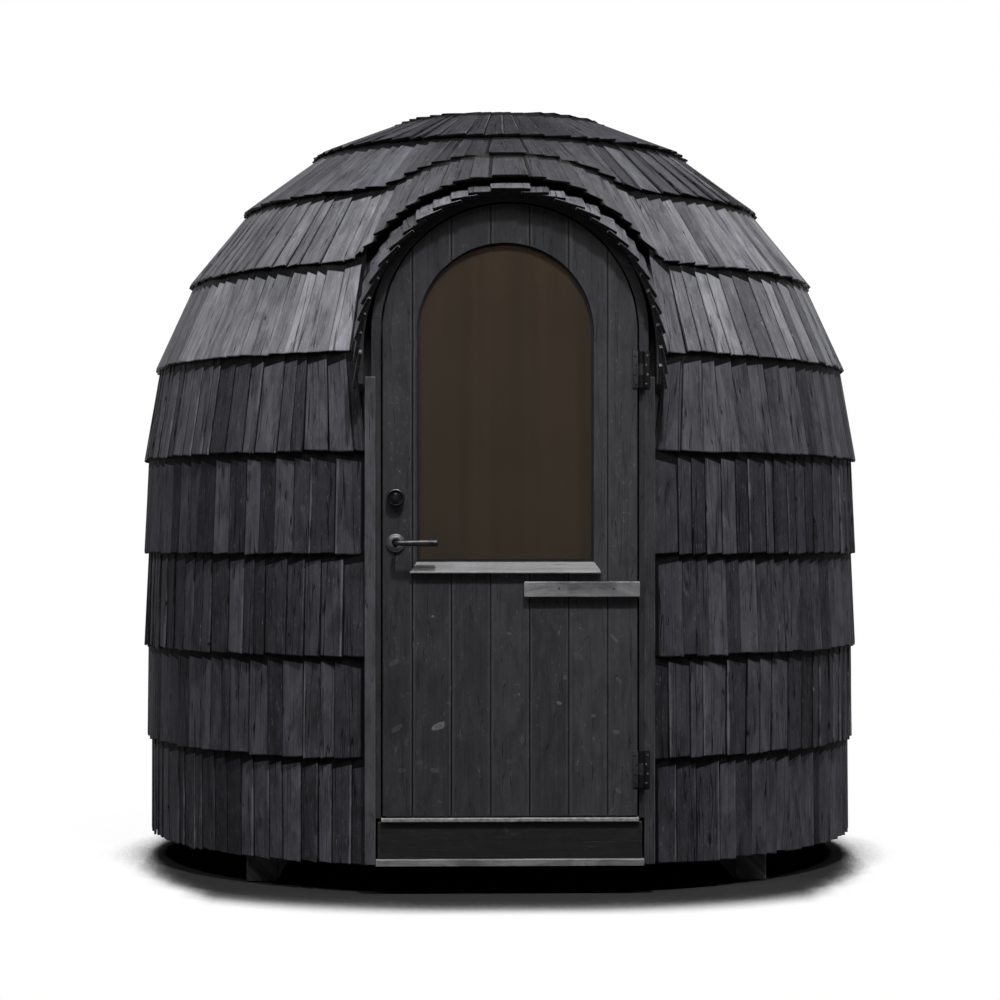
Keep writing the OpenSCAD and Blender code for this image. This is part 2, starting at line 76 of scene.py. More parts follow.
class Paint:
    def __init__(self, owner):
        # owner is a material or the world
        self.owner = owner
        owner.use_nodes = True
        self.tree = owner.node_tree
        self.tree.nodes.clear()

    def add(self, kind, settings=None, sockets=None, out=0):
        node = self.tree.nodes.new(kind)
        for key, value in (settings or {}).items():
            if key == "stops":
                self.setStops(node.color_ramp, value)
            else:
                setattr(node, key, value)
        for key, value in (sockets or {}).items():
            self.feed(node.inputs[key], value)
        return Wire(self, node.outputs[out])

    def feed(self, socket, value):
        if isinstance(value, Wire):
            self.tree.links.new(value.socket, socket)
        elif isinstance(value, (tuple, list)) and socket.type == "RGBA" and len(value) == 3:
            socket.default_value = (*value, 1.0)
        else:
            socket.default_value = value

    def setStops(self, ramp, stops):
        while len(ramp.elements) < len(stops):
            ramp.elements.new(0.5)
        for element, (place, shade) in zip(ramp.elements, stops):
            element.position = place
            element.color = (shade, shade, shade, 1.0)

    def mix(self, share, first, second, blend="MIX"):
        return self.add("ShaderNodeMix", {"data_type": "RGBA", "blend_type": blend},
                        {0: share, 6: first, 7: second}, out=2)

    def maths(self, operation, first, second=0.0):
        return self.add("ShaderNodeMath", {"operation": operation}, {0: first, 1: second})

    def split(self, vector):
        node = self.tree.nodes.new("ShaderNodeSeparateXYZ")
        self.feed(node.inputs[0], vector)
        return [Wire(self, output) for output in node.outputs]

    def joined(self, x, y, z=0.0):
        return self.add("ShaderNodeCombineXYZ", {}, {"X": x, "Y": y, "Z": z})

    def scaled(self, vector, factors):
        return self.add("ShaderNodeVectorMath", {"operation": "MULTIPLY"}, {0: vector, 1: factors})

    def shifted(self, vector, amount):
        return self.add("ShaderNodeVectorMath", {"operation": "ADD"}, {0: vector, 1: amount})

    def length(self, vector):
        return self.add("ShaderNodeVectorMath", {"operation": "LENGTH"}, {0: vector}, out=1)

    def spot(self):
        # the object's own coordinates
        return self.add("ShaderNodeTexCoord", out=3)

    def noise(self, vector, factors, detail=4.0, rough=0.55, warp=0.0):
        return self.add("ShaderNodeTexNoise", {}, {
            "Vector": self.scaled(vector, factors), "Scale": 1.0, "Detail": detail, "Roughness": rough,
            "Distortion": warp})

    def ramp(self, value, *stops):
        return self.add("ShaderNodeValToRGB", {"stops": stops}, {"Fac": value})

    def attribute(self, name):
        return self.add("ShaderNodeAttribute", {"attribute_name": name}, out=2)

    def bump(self, height, depth):
        return self.add("ShaderNodeBump", {}, {"Height": height, "Distance": depth, "Strength": 1.0})

    def surface(self, **sockets):
        return self.show(self.add("ShaderNodeBsdfPrincipled", {}, {
            key.replace("_", " "): value for key, value in sockets.items()}))

    def rays(self):
        return [self.add("ShaderNodeLightPath", out=out) for out in
                ("Is Camera Ray", "Is Glossy Ray", "Is Transmission Ray")]

    def show(self, shader, end="ShaderNodeOutputMaterial"):
        self.tree.links.new(shader.socket, self.tree.nodes.new(end).inputs["Surface"])
        return self.owner


# Wood. Each noise has its scale across, along and across the grain, its detail, roughness and warp.
woodNoises = {"streaks": ((85.0, 5.0, 85.0), 6.0, 0.6, 0.5), "fine": ((520.0, 20.0, 520.0), 3.0, 0.6),
              "clouds": ((24.0, 8.0, 24.0), 5.0, 0.6, 0.8), "scuffs": ((75.0, 42.0, 75.0), 6.0, 0.68, 1.2),
              "splits": ((42.0, 1.6, 42.0), 2.0, 0.45, 0.3), "bends": ((14.0, 9.0, 14.0), 2.0)}
# each ramp has its stops as place and strength
woodRamps = {"streak": ((0.32, 0.0), (0.72, 1.0)), "cloud": ((0.3, 0.0), (0.7, 1.0)),
             "fleck": ((0.58, 0.0), (0.70, 1.0)), "fleckPatch": ((0.47, 0.0), (0.60, 1.0)),
             "scuff": ((0.60, 0.0), (0.74, 1.0)), "scuffPatch": ((0.42, 0.0), (0.6, 1.0)),
             "knot": ((0.0, 1.0), (0.09, 0.0)), "rings": ((0.06, 1.0), (0.24, 0.0)),
             "halo": ((0.05, 0.0), (0.085, 1.0), (0.13, 0.0)), "haloPatch": ((0.45, 0.0), (0.6, 1.0)),
             "mark": ((0.0, 0.7), (0.35, 0.45), (0.62, 1.0), (1.0, 0.0)),
             "sheenStreaks": ((0.34, 0.6), (0.66, 0.95)), "rim": ((0.02, 0.0), (0.05, 0.5), (0.085, 0.0))}
wood = {"knotStretch": 0.55, "knotBend": 0.12, "ringCount": 95.0, "boardShift": 0.37, "boardSlide": 2.3,
        "sheenTint": 0.55, "splitInSheen": 0.6, "crackRough": 0.15, "markRagged": 1.6, "markFine": 0.5,
        "skin": 0.02}


def grainPlace(paint, along, look):
    # a place on the wood whose Y runs along the grain: a piece's own map, the cabin's axes, or the
    # length round the wall and the height along its staves
    if along == "map":
        return paint.add("ShaderNodeUVMap", {"uv_map": "grain"})
    place = paint.spot()
    if along == "staves":
        x, y, z = paint.split(place)
        centre, radius = look["centre"], look["radius"]
        away = paint.length(paint.scaled(place, (1.0, 1.0, 0.0)))
        over = paint.maths("MAXIMUM", z - centre, 0.0)
        rise = paint.maths("MINIMUM", z, centre) + paint.maths("ARCTAN2", over, away) * radius
        return paint.joined(paint.maths("ARCTAN2", x, y) * radius, rise)
    turn = {"x": (0.0, 0.0, math.pi / 2), "y": (0.0, 0.0, 0.0), "z": (math.pi / 2, 0.0, 0.0)}[along]
    return paint.add("ShaderNodeVectorRotate", {"rotation_type": "EULER_XYZ"},
                     {"Vector": place, "Rotation": turn})


def boardRow(paint, place, look):
    # boards side by side: each has its own tone and grain; middle is 0 at its joints
    count = paint.split(place)[0] * (1.0 / look["pitch"]) + look["start"]
    number = paint.maths("FLOOR", count)
    tone = paint.add("ShaderNodeTexWhiteNoise", {"noise_dimensions": "1D"}, {"W": number})
    moved = paint.joined(number * wood["boardShift"], number * wood["boardSlide"])
    middle = 0.5 - abs(paint.maths("FRACT", count) - 0.5)
    return paint.shifted(place, moved), tone, middle


def knotDistance(paint, place, look, bends):
    size = look["knots"]
    place = paint.shifted(paint.scaled(place, (size, size * wood["knotStretch"], size)),
                          paint.scaled(bends, (wood["knotBend"],) * 3))
    return paint.add("ShaderNodeTexVoronoi", {"feature": "F1"},
                     {"Vector": place, "Scale": 1.0, "Randomness": 1.0})


def addMarks(paint, colour, look, noise):
    # bare knots and knocks at their places on the door: x, z, half width, half height, lean, strength
    spot = paint.spot()
    ragged = (noise["scuffs"] - 0.5) * wood["markRagged"] + (noise["fine"] - 0.5) * wood["markFine"]
    for x, z, wide, high, lean, strength in look["marks"]:
        moved = paint.add("ShaderNodeMapping", {"vector_type": "TEXTURE"}, {
            "Vector": spot, "Location": (x, 0.0, z), "Rotation": (0.0, math.radians(lean), 0.0),
            "Scale": (wide, 1000.0, high)})
        share = paint.ramp(paint.length(moved) + ragged, *woodRamps["mark"]) * strength
        colour = paint.mix(share, colour, look["scuff"])
    return colour


def outsideColour(paint, colour, look):
    # the boarding's outer face is painted black, as painted shade where it shows in gaps between the
    # shingles and the hood
    x, y, z = paint.split(paint.shifted(paint.spot(), (0.0, 0.0, -look["centre"])))
    far = paint.length(paint.joined(x, y, paint.maths("MAXIMUM", z, 0.0)))
    return paint.mix(far > look["radius"] + wood["skin"], colour, look["outside"])


def woodPaint(name, look, along="map"):
    paint = Paint(bpy.data.materials.new(name))
    place = grainPlace(paint, along, look)
    tone, wear, under, bleach = [paint.attribute(label) if along == "map" else plain for label, plain in
                                 (("tone", 0.5), ("wear", 0.0), ("under", 0.0), ("bleach", 0.0))]
    middle = joint = 0.0
    if "pitch" in look:
        place, tone, middle = boardRow(paint, place, look)
        joint = paint.ramp(middle, (0.0, 1.0), (look["joint"], 0.0))
    noise = {kind: paint.noise(place, *setting) for kind, setting in woodNoises.items()}
    streaks, fine, clouds, scuffs = noise["streaks"], noise["fine"], noise["clouds"], noise["scuffs"]

    def ramped(kind, value):
        return paint.ramp(value, *woodRamps[kind])
    crack = paint.ramp(abs(noise["splits"] - 0.5), (0.0, 1.0), (look["crackWidth"], 0.0))
    knot = knotDistance(paint, place, look, noise["bends"])
    knotCore = ramped("knot", knot)
    shade = ramped("streak", streaks) * (1.0 - look["blotch"]) + ramped("cloud", clouds) * look["blotch"]
    colour = paint.mix(shade, look["dark"], look["light"])
    colour = paint.mix(tone, paint.mix(1.0, colour, look["toneLow"], "MULTIPLY"),
                       paint.mix(1.0, colour, look["toneHigh"], "MULTIPLY"))
    for share, kind in ((ramped("fleck", fine) * ramped("fleckPatch", scuffs) * look["flecks"], "fleck"),
                        (ramped("scuff", scuffs) * ramped("scuffPatch", clouds) * look["scuffs"], "scuff"),
                        (ramped("halo", knot) * ramped("haloPatch", scuffs) * look["scuffs"], "scuff"),
                        (crack * look["cracks"], "crack"), (knotCore * look["knotDepth"], "knot")):
        colour = paint.mix(share, colour, look[kind])
    # painted sheen: a paler, brighter copy of the colour, mixed in along streaks where the plank carries it
    sheenTint = paint.mix(wood["sheenTint"], look["sheenColour"], paint.mix(1.0, colour, look["sheenGain"], "MULTIPLY"))
    colour = paint.mix(bleach * ramped("sheenStreaks", streaks * 0.2 + clouds * 0.8), colour, sheenTint)
    colour = paint.mix(crack * wood["splitInSheen"], colour, look["crack"])
    # painted shade: black on butt faces, in a toothed band under the butts above, beside the lapped edge,
    # and evenly over the upper courses, cap and hood
    colour = paint.mix(under, colour, look["paintedShade"])
    # lighter edges: wear, and on the shingles a painted highlight along each proud edge
    worn = paint.ramp(wear * 0.5 + clouds * 0.5 + streaks * 0.3, *look["wornStops"])
    colour = paint.mix(worn * look["wornShare"] * (1.0 - under), colour, look["worn"])
    if "marks" in look:
        colour = addMarks(paint, colour, look, noise)
    if "shaded" in look:
        # painted shadow of the hood: the door darkens towards its top
        colour = paint.mix(paint.ramp(paint.split(paint.spot())[2] * 0.5, *look["shaded"]), colour,
                           look["paintedShade"])
    if "pitch" in look:
        # painted highlight on the boards' bevels beside each joint
        colour = paint.mix(ramped("rim", middle), colour, look["rim"])
        colour = paint.mix(joint, colour, look["crack"])
    if "outside" in look:
        colour = outsideColour(paint, colour, look)
    ring = paint.maths("SINE", knot * wood["ringCount"]) * ramped("rings", knot)
    height = (streaks * 0.6 - joint * 1.2 + fine * 0.25 + clouds * 0.3 - crack * 0.8 - knotCore * 0.25
              + ring * 0.05)
    rough = (look["rough"] + (streaks * 0.7 + clouds * 0.3 - 0.5) * look["roughSpan"]
             + crack * wood["crackRough"])
    if look["dull"]:
        rough = rough + paint.ramp(bleach, (0.0, look["dull"]), (0.12, 0.0))
    return paint.surface(Base_Color=colour, Roughness=rough, Normal=paint.bump(height, look["relief"]),
                         Specular_IOR_Level=look["gloss"])


shingleLook = {"dark": (0.021, 0.021, 0.0232), "light": (0.074, 0.074, 0.0845), "blotch": 0.8,
               "toneLow": (0.45, 0.45, 0.48), "toneHigh": (1.7, 1.7, 1.75),
               "fleck": (0.21, 0.21, 0.215), "flecks": 0.85, "scuff": (0.11, 0.11, 0.115), "scuffs": 0.5,
               "crack": (0.002, 0.002, 0.002), "cracks": 0.85, "crackWidth": 0.010,
               "knot": (0.004, 0.004, 0.004), "knots": 7.0, "knotDepth": 0.75,
               "worn": (0.17, 0.17, 0.18), "wornShare": 0.8, "wornStops": ((0.70, 0.0), (0.90, 1.0)),
               "paintedShade": (0.0015, 0.0015, 0.0015), "sheenColour": (0.165, 0.165, 0.176),
               "sheenGain": (4.4, 4.4, 4.1), "rough": 0.45, "roughSpan": 0.5, "dull": 0.27,
               "gloss": 0.025, "relief": 0.0018}
boardLook = dict(shingleLook, dark=(0.017, 0.017, 0.019), light=(0.036, 0.036, 0.040),
                 toneLow=(0.8, 0.8, 0.82), toneHigh=(1.2, 1.2, 1.2), flecks=0.15, cracks=0.5,
                 crackWidth=0.003, knots=5.0, wornShare=0.3, wornStops=((0.80, 0.0), (0.98, 1.0)),
                 rim=(0.06, 0.06, 0.063), rough=0.55, dull=0.0, gloss=0.04, relief=0.0008)
doorLook = dict(boardLook, pitch=0.109, start=0.5, joint=0.022, knots=4.0, dark=(0.0235, 0.0235, 0.026),
                light=(0.046, 0.046, 0.051), scuff=(0.16, 0.16, 0.165), scuffs=0.85, crackWidth=0.0015,
                shaded=((0.80, 0.0), (0.93, 0.45)),
                marks=((-0.199, 0.472, 0.021, 0.010, -22, 1.0), (-0.324, 0.650, 0.018, 0.008, -35, 0.22),
                       (-0.216, 0.778, 0.006, 0.004, 0, 0.9), (-0.002, 0.730, 0.006, 0.004, 10, 0.4),
                       (0.291, 0.716, 0.017, 0.005, 50, 0.4), (0.303, 0.600, 0.015, 0.005, 45, 0.3),
                       (0.136, 0.536, 0.008, 0.005, 20, 0.9), (0.232, 0.500, 0.007, 0.005, 0, 0.6),
                       (0.295, 0.455, 0.011, 0.007, 15, 0.4), (-0.316, 0.466, 0.019, 0.008, -30, 0.25),
                       (-0.211, 0.349, 0.014, 0.007, 10, 0.3), (-0.253, 0.370, 0.011, 0.007, -20, 0.2),
                       (-0.303, 0.349, 0.012, 0.007, 0, 0.2), (-0.002, 0.374, 0.011, 0.007, 30, 0.2),
                       (0.303, 0.291, 0.011, 0.006, 40, 0.35), (0.190, 0.667, 0.020, 0.008, 30, 0.15)))
riserLook = dict(boardLook, dark=(0.012, 0.012, 0.012), light=(0.020, 0.020, 0.021), cracks=0.2,
                 scuffs=0.2)
trimLook = dict(boardLook, dark=(0.032, 0.032, 0.036), light=(0.085, 0.085, 0.095), wornShare=0.3,
                toneLow=(0.55, 0.55, 0.55), toneHigh=(1.3, 1.3, 1.3))
wornLook = dict(boardLook, dark=(0.055, 0.055, 0.058), light=(0.22, 0.22, 0.225), wornShare=0.6,
                worn=(0.34, 0.34, 0.345), flecks=0.5, fleck=(0.03, 0.03, 0.03), toneLow=(0.5, 0.5, 0.5),
                toneHigh=(1.5, 1.5, 1.5), scuff=(0.02, 0.02, 0.02))
sillLook = dict(wornLook, dark=(0.155, 0.155, 0.158), light=(0.23, 0.23, 0.235), cracks=0.1)
insideLook = dict(boardLook, dark=(0.34, 0.21, 0.11), light=(0.52, 0.36, 0.21), fleck=(0.3, 0.2, 0.1),
                  crack=(0.2, 0.11, 0.05), knot=(0.16, 0.07, 0.03), worn=(0.5, 0.36, 0.22), gloss=0.2,
                  rough=0.6, crackWidth=0.002, pitch=0.095, start=0.0, joint=0.04,
                  rim=(0.5, 0.35, 0.2), scuff=(0.5, 0.36, 0.22))
staveLook = dict(insideLook, outside=(0.008, 0.008, 0.009), centre=1.243, radius=1.05)

paints = {
    "shingle": woodPaint("blackShingle", shingleLook),
    "board": woodPaint("blackBoard", boardLook),
    "boardX": woodPaint("blackBoardAcross", boardLook, "x"),
    "boardZ": woodPaint("blackBoardUpright", boardLook, "z"),
    "boardY": woodPaint("blackBoardDeep", boardLook, "y"),
    "doorBoards": woodPaint("doorBoards", doorLook, "z"),
    "trim": woodPaint("wornTrim", trimLook),
    "riser": woodPaint("riserBoard", riserLook),
    "worn": woodPaint("wornStrip", wornLook),
    "sill": woodPaint("wornSill", sillLook),
    "staves": woodPaint("spruceStaves", staveLook, "staves"),
    "deck": woodPaint("spruceDeck", insideLook, "y"),
}


# Metal, plain paint and rubber: name, colour and roughness, then metal, scuff and gloss
metals = {"lock": ("darkLock", (0.010, 0.010, 0.011), 0.30),
          "rose": ("wornRose", (0.026, 0.026, 0.027), 0.52),
          "lever": ("wornLever", (0.010, 0.010, 0.011), 0.42),
          "threshold": ("scuffedThreshold", (0.22, 0.22, 0.218), 0.5, 0.0, 0.3, 0.1),
          "hinge": ("hingePaint", (0.004, 0.004, 0.005), 0.65, 0.0, 0.1, 0.03),
          "leafHinge": ("leafHingePaint", (0.019, 0.019, 0.021), 0.6, 0.0, 0.1, 0.05),
          "pin": ("frameScrewHeads", (0.085, 0.085, 0.087), 0.6, 0.0, 0.2, 0.1),
          "gasket": ("gasketRubber", (0.006, 0.006, 0.006), 0.7, 0.0, 0.1, 0.05)}
metal = {"cloudScale": 90.0, "speckScale": 900.0, "cloudStops": ((0.35, 0.0), (0.7, 1.0)),
         "darkest": 0.6, "lightest": 1.4, "relief": 0.00012}
glass = {"hazeScale": (2.0, 2.0, 3.0), "boardScale": (26.0, 26.0, 0.7), "haze": 0.4,
         "stops": ((0.4, 0.0), (0.6, 1.0)), "dark": (0.044, 0.035, 0.023), "light": (0.056, 0.043, 0.029),
         "rough": 0.04, "smear": 0.03, "gloss": 0.12, "through": (0.42, 0.32, 0.22), "body": 0.62}


def metalPaint(name, shade, rough, metallic=1.0, scuff=0.1, gloss=0.5):
    paint = Paint(bpy.data.materials.new(name))
    place = paint.spot()
    clouds = paint.noise(place, (metal["cloudScale"],) * 3)
    specks = paint.noise(place, (metal["speckScale"],) * 3, 2.0)
    colour = paint.mix(paint.ramp(clouds, *metal["cloudStops"]),
                       tuple(part * metal["darkest"] for part in shade),
                       tuple(part * metal["lightest"] for part in shade))
    return paint.surface(Base_Color=colour, Metallic=metallic,
                         Roughness=rough + (clouds - 0.5) * scuff + (specks - 0.5) * scuff,
                         Normal=paint.bump(specks, metal["relief"]), Specular_IOR_Level=gloss)


def glassPaint():
    # tinted glass, partly clear, with faint upright bands painted into its colour for the lit boarding seen
    # through it
    paint = Paint(bpy.data.materials.new("tintedGlass"))
    place = paint.spot()
    haze = paint.noise(place, glass["hazeScale"], 3.0)
    boards = paint.noise(place, glass["boardScale"], 1.0)
    tint = paint.ramp(haze * glass["haze"] + boards * (1.0 - glass["haze"]), *glass["stops"])
    body = paint.add("ShaderNodeBsdfPrincipled", {}, {
        "Base Color": paint.mix(tint, glass["dark"], glass["light"]),
        "Roughness": glass["rough"] + haze * glass["smear"], "Specular IOR Level": glass["gloss"]})
    clear = paint.add("ShaderNodeBsdfTransparent", {}, {"Color": glass["through"]})
    return paint.show(paint.add("ShaderNodeMixShader", {}, {0: glass["body"], 1: clear, 2: body}))


for metalName, metalSetting in metals.items():
    paints[metalName] = metalPaint(*metalSetting)
paints["glass"] = glassPaint()
print("paints ready:", len(paints))


# The cabin's own shape, from the frame
def lowCorner(node):
    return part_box(node)[0]


def highCorner(node):
    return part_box(node)[1]


def middleOf(node):
    low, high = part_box(node)
    return (low + high) / 2


cabin = {"wallRadius": highCorner("wall_back_right").x, "springZ": highCorner("wall_back_right").z,
         "footZ": lowCorner("course_1").z, "wallTaper": 0.022, "taperFrom": 3, "exposure": 0.287,
         "courseAngle": 14.5, "wallCourses": 5, "lastCourse": 10, "buttDepth": 0.024, "tipDepth": 0.012,
         "midDepth": 0.012, "backGap": 0.001, "trimGap": 0.0015, "eaveGap": 0.003}
hood = {"lipY": -lowCorner("hood_eave_course").y, "half": 0.426, "legZ": 1.403, "lowZ": 1.982,
        "frameY": -lowCorner("frame_head").y, "eaveDepth": 0.012, "set": 0.050, "lift": 0.010,
        "bow": 0.002, "room": 0.010, "flare": 0.065, "spread": 2.6, "blend": 1.3, "reach": 0.7}


def courseZ(k):
    if k == 1:
        return cabin["footZ"]
    return cabin["springZ"] - (cabin["wallCourses"] - k) * cabin["exposure"]


def wallAt(z):
    taperZ = courseZ(cabin["taperFrom"])
    drop = max(0.0, (taperZ - z) / (taperZ - cabin["footZ"]))
    return cabin["wallRadius"] - cabin["wallTaper"] * drop


def courseLine(k, off):
    # radius and height of the line on which course k begins
    if k <= cabin["wallCourses"]:
        return wallAt(courseZ(k)) + off, courseZ(k)
    radius = cabin["wallRadius"] + off
    if k > cabin["lastCourse"]:
        return 0.0, cabin["springZ"] + radius
    angle = math.radians((k - cabin["wallCourses"]) * cabin["courseAngle"])
    return radius * math.cos(angle), cabin["springZ"] + radius * math.sin(angle)


hoodBack = Vector(courseLine(9, 0.0))
hood["slope"] = math.atan((hoodBack.y - hood["room"] - hood["lowZ"]) / (hood["frameY"] - hoodBack.x))
hood["crownZ"] = hood["lowZ"] - (hood["lipY"] - hood["frameY"]) * math.tan(hood["slope"])
hood["middleZ"] = hood["crownZ"] - hood["half"] / math.cos(hood["slope"])
hood["angle"] = math.degrees(math.asin((hood["half"] + hood["eaveDepth"] + hood["flare"])
                                       / cabin["wallRadius"]))
hoodFront = Vector((hood["lipY"] - hood["set"],
                    hood["crownZ"] + (hood["eaveDepth"] + hood["lift"]) / math.cos(hood["slope"])
                    + hood["set"] * math.tan(hood["slope"])))
lifts = {7: hoodFront - Vector(courseLine(7, 0.0)),
         8: (hoodFront + hoodBack) / 2 + Vector((0.0, hood["bow"])) - Vector(courseLine(8, 0.0))}


def hoodShare(azimuth):
    # 1 over the middle of the door, 0 from the hood's sides on
    aside = abs(azimuth) / hood["angle"]
    return (1.0 - aside ** hood["spread"]) ** hood["blend"] if aside < 1.0 else 0.0


def linePoint(k, azimuth):
    radius, height = courseLine(k, cabin["backGap"])
    share = hoodShare(azimuth)
    angle = math.radians(azimuth)
    lift = lifts.get(k, Vector((0.0, 0.0)))
    return Vector((radius * math.sin(angle), -radius * math.cos(angle) - lift.x * share ** hood["reach"],
                   height + lift.y * share))


# A heap gathers planks into one mesh, with a grain map and a tone, wear, painted shade and painted sheen at
# each point
class Heap:
    def __init__(self):
        self.points, self.faces, self.places = [], [], []
        self.marks = {"tone": [], "wear": [], "under": [], "bleach": []}

    def addPoint(self, point, place, *marks):
        self.points.append(tuple(point))
        self.places.append(place)
        for values, mark in zip(self.marks.values(), marks):
            values.append(mark)

    def addSide(self, corners, turn):
        self.faces.append(corners if turn > 0 else corners[::-1])

    def addGrid(self, grid, tone, bleach=0.0):
        # rows of cells from the butt up: outer point, inner point, place on the grain, wear, painted shade
        rows, columns = len(grid), len(grid[0])
        start, back = len(self.points), rows * columns
        backWear = 0.6
        for layer, wearShare in enumerate((1.0, backWear)):
            for cell in [cell for row in grid for cell in row]:
                self.addPoint(cell[layer], cell[2], tone, cell[3] * wearShare, cell[4], bleach)

        def index(row, column):
            return start + row * columns + column
        for row in range(rows - 1):
            for column in range(columns - 1):
                corners = [index(row, column), index(row, column + 1), index(row + 1, column + 1),
                           index(row + 1, column)]
                self.faces.append(corners)
                self.faces.append([corner + back for corner in reversed(corners)])
        walls = [(index(row, column), index(row + 1, column), turn) for row in range(rows - 1)
                 for column, turn in ((0, 1), (columns - 1, -1))]
        walls += [(index(row, column), index(row, column + 1), turn) for column in range(columns - 1)
                  for row, turn in ((0, -1), (rows - 1, 1))]
        for first, second, turn in walls:
            self.addSide([first, second, second + back, first + back], turn)

    def addLoft(self, rings, grain=2, tone=0.5, wears=None, shift=0.0):
        # rings of points in order, closed at both ends; grain is the axis the wood runs along
        start, size = len(self.points), len(rings[0])
        for i, ring in enumerate(rings):
            for j, point in enumerate(ring):
                across = sum(point[axis] for axis in range(3) if axis != grain)
                self.addPoint(point, (across + shift, point[grain] + 3.0 * shift), tone,
                              wears[i][j] if wears else 0.0, 0.0, 0.0)
        middle, ahead = [sum((Vector(point) for point in ring), Vector()) / size for ring in rings[:2]]
        turn = sum((Vector(rings[0][j]).cross(Vector(rings[0][(j + 1) % size])) for j in range(size)),
                   Vector()).dot(ahead - middle)
        side = -1 if turn < 0 else 1
        for i in range(len(rings) - 1):
            for j in range(size):
                a, b = start + i * size + j, start + i * size + (j + 1) % size
                self.addSide([a, b, b + size, a + size], side)
        last = start + (len(rings) - 1) * size
        self.addSide(list(range(start, start + size)), -side)
        self.addSide(list(range(last, last + size)), side)

    def build(self, name, paint, body, slot, *nodes, smooth=False):
        mesh = bpy.data.meshes.new(name)
        mesh.from_pydata(self.points, [], self.faces)
        chart = mesh.uv_layers.new(name="grain")
        for loop in mesh.loops:
            chart.data[loop.index].uv = self.places[loop.vertex_index]
        for label, values in self.marks.items():
            mesh.attributes.new(label, "FLOAT", "POINT").data.foreach_set("value", values)
        mesh.materials.append(paints[paint])
        if smooth:
            sharpDegrees = 34.0
            mesh.shade_smooth()
            mesh.set_sharp_from_angle(angle=math.radians(sharpDegrees))
        piece = bpy.data.objects.new(name, mesh)
        bpy.context.scene.collection.objects.link(piece)
        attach(piece, body)
        if nodes:
            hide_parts(*nodes)


# A plank is a grid of rows from its butt up. Painted shade covers its ends, a band under the butts above,
# and the edge that its neighbour laps.
plank = {"columns": (0.0, 0.035, 0.25, 0.5, 0.75, 0.965, 1.0), "middles": (0.5, 0.78),
         "rows": (0.0, 0.012, 0.3, 0.65, 0.908, 0.918, 1.0), "shadeRow": 5, "toothRows": (4, 5),
         "tooth": 0.075, "toothLeast": 0.4, "shadeWidth": 0.045, "split": 0.026, "rim": 0.055,
         "proudGlint": 0.8, "wearFall": 1.3, "edgeDrop": 0.0011, "cup": 0.0008, "hollow": -0.4}


def plankColumns(tuck):
    # shares of the width, with painted shade as far as the neighbour's edge; tuck is below 0 at the right
    if not tuck:
        return [(u, 0.0) for u in plank["columns"]]
    covered = abs(tuck)
    blackTo = covered + plank["split"]
    columns = [(0.0, 1.0), (covered, 1.0), (blackTo, 1.0), (blackTo + plank["shadeWidth"], 0.0)]
    columns += [(u, 0.0) for u in (*plank["middles"], 1.0 - plank["rim"], 1.0)]
    return columns if tuck > 0 else [(1.0 - u, paintedShade) for u, paintedShade in reversed(columns)]


def addPlank(heap, dice, corners, normal, thick, tone, ragged=0.0015, bleach=0.0, tuck=0.0, paintedShade=0.0,
             baseShade=0.0):
    # corners: butt left, butt right, top left, top right, all on the outer face
    buttLeft, buttRight, topLeft, topRight = corners
    width = (buttRight - buttLeft).length
    length = (topLeft - buttLeft).length
    down = (buttLeft - topLeft).normalized()
    shift = (dice.uniform(0, 40), dice.uniform(0, 40))
    cup = dice.uniform(plank["hollow"], 1.0) * plank["cup"]
    columns = plankColumns(tuck)
    raggeds = [dice.uniform(-ragged, ragged) for _ in columns]
    tooth = plank["tooth"] * dice.uniform(plank["toothLeast"], 1.0)
    lastColumn = len(columns) - 1
    rimColumn = lastColumn - 1 if tuck > 0 else 1 if tuck < 0 else None
    # the proud edge and the column beside it are lighter: wear, and a painted highlight where the edge
    # catches the light
    edgeWearAndGlint = (shift[0] % 1.0) ** plank["wearFall"] if tuck else 1.0
    grid = []
    for j, v in enumerate(plank["rows"]):
        row = []
        for i, (u, black) in enumerate(columns):
            # the painted shade's lower edge is toothed, deepest under the proud edges of the course above,
            # like the shadow of their butts
            toothed = paintedShade + tooth * (1.0 - u if tuck >= 0 else u) if j in plank["toothRows"] else 0.0
            spot = buttLeft.lerp(buttRight, u).lerp(topLeft.lerp(topRight, u), v - toothed)
            if j == 0:
                spot = spot + down * raggeds[i]
            side = i in (0, lastColumn)
            lift = cup * math.sin(math.pi * u) - (plank["edgeDrop"] if side or j == 0 else 0.0)
            wear = edgeWearAndGlint if side else edgeWearAndGlint * plank["proudGlint"] if i == rimColumn else 0.0
            # painted shade is full on the butt face and from the toothed edge up, and beside the lapped
            # edge and as an even share elsewhere
            row.append((spot + normal * lift, spot - normal * (thick[0] + (thick[1] - thick[0]) * v),
                        (shift[0] + u * width, shift[1] + (v - toothed) * length), wear if j else 0.0,
                        1.0 if j == 0 or j >= plank["shadeRow"] else max(black, baseShade)))
        grid.append(row)
    heap.addGrid(grid, tone, bleach)


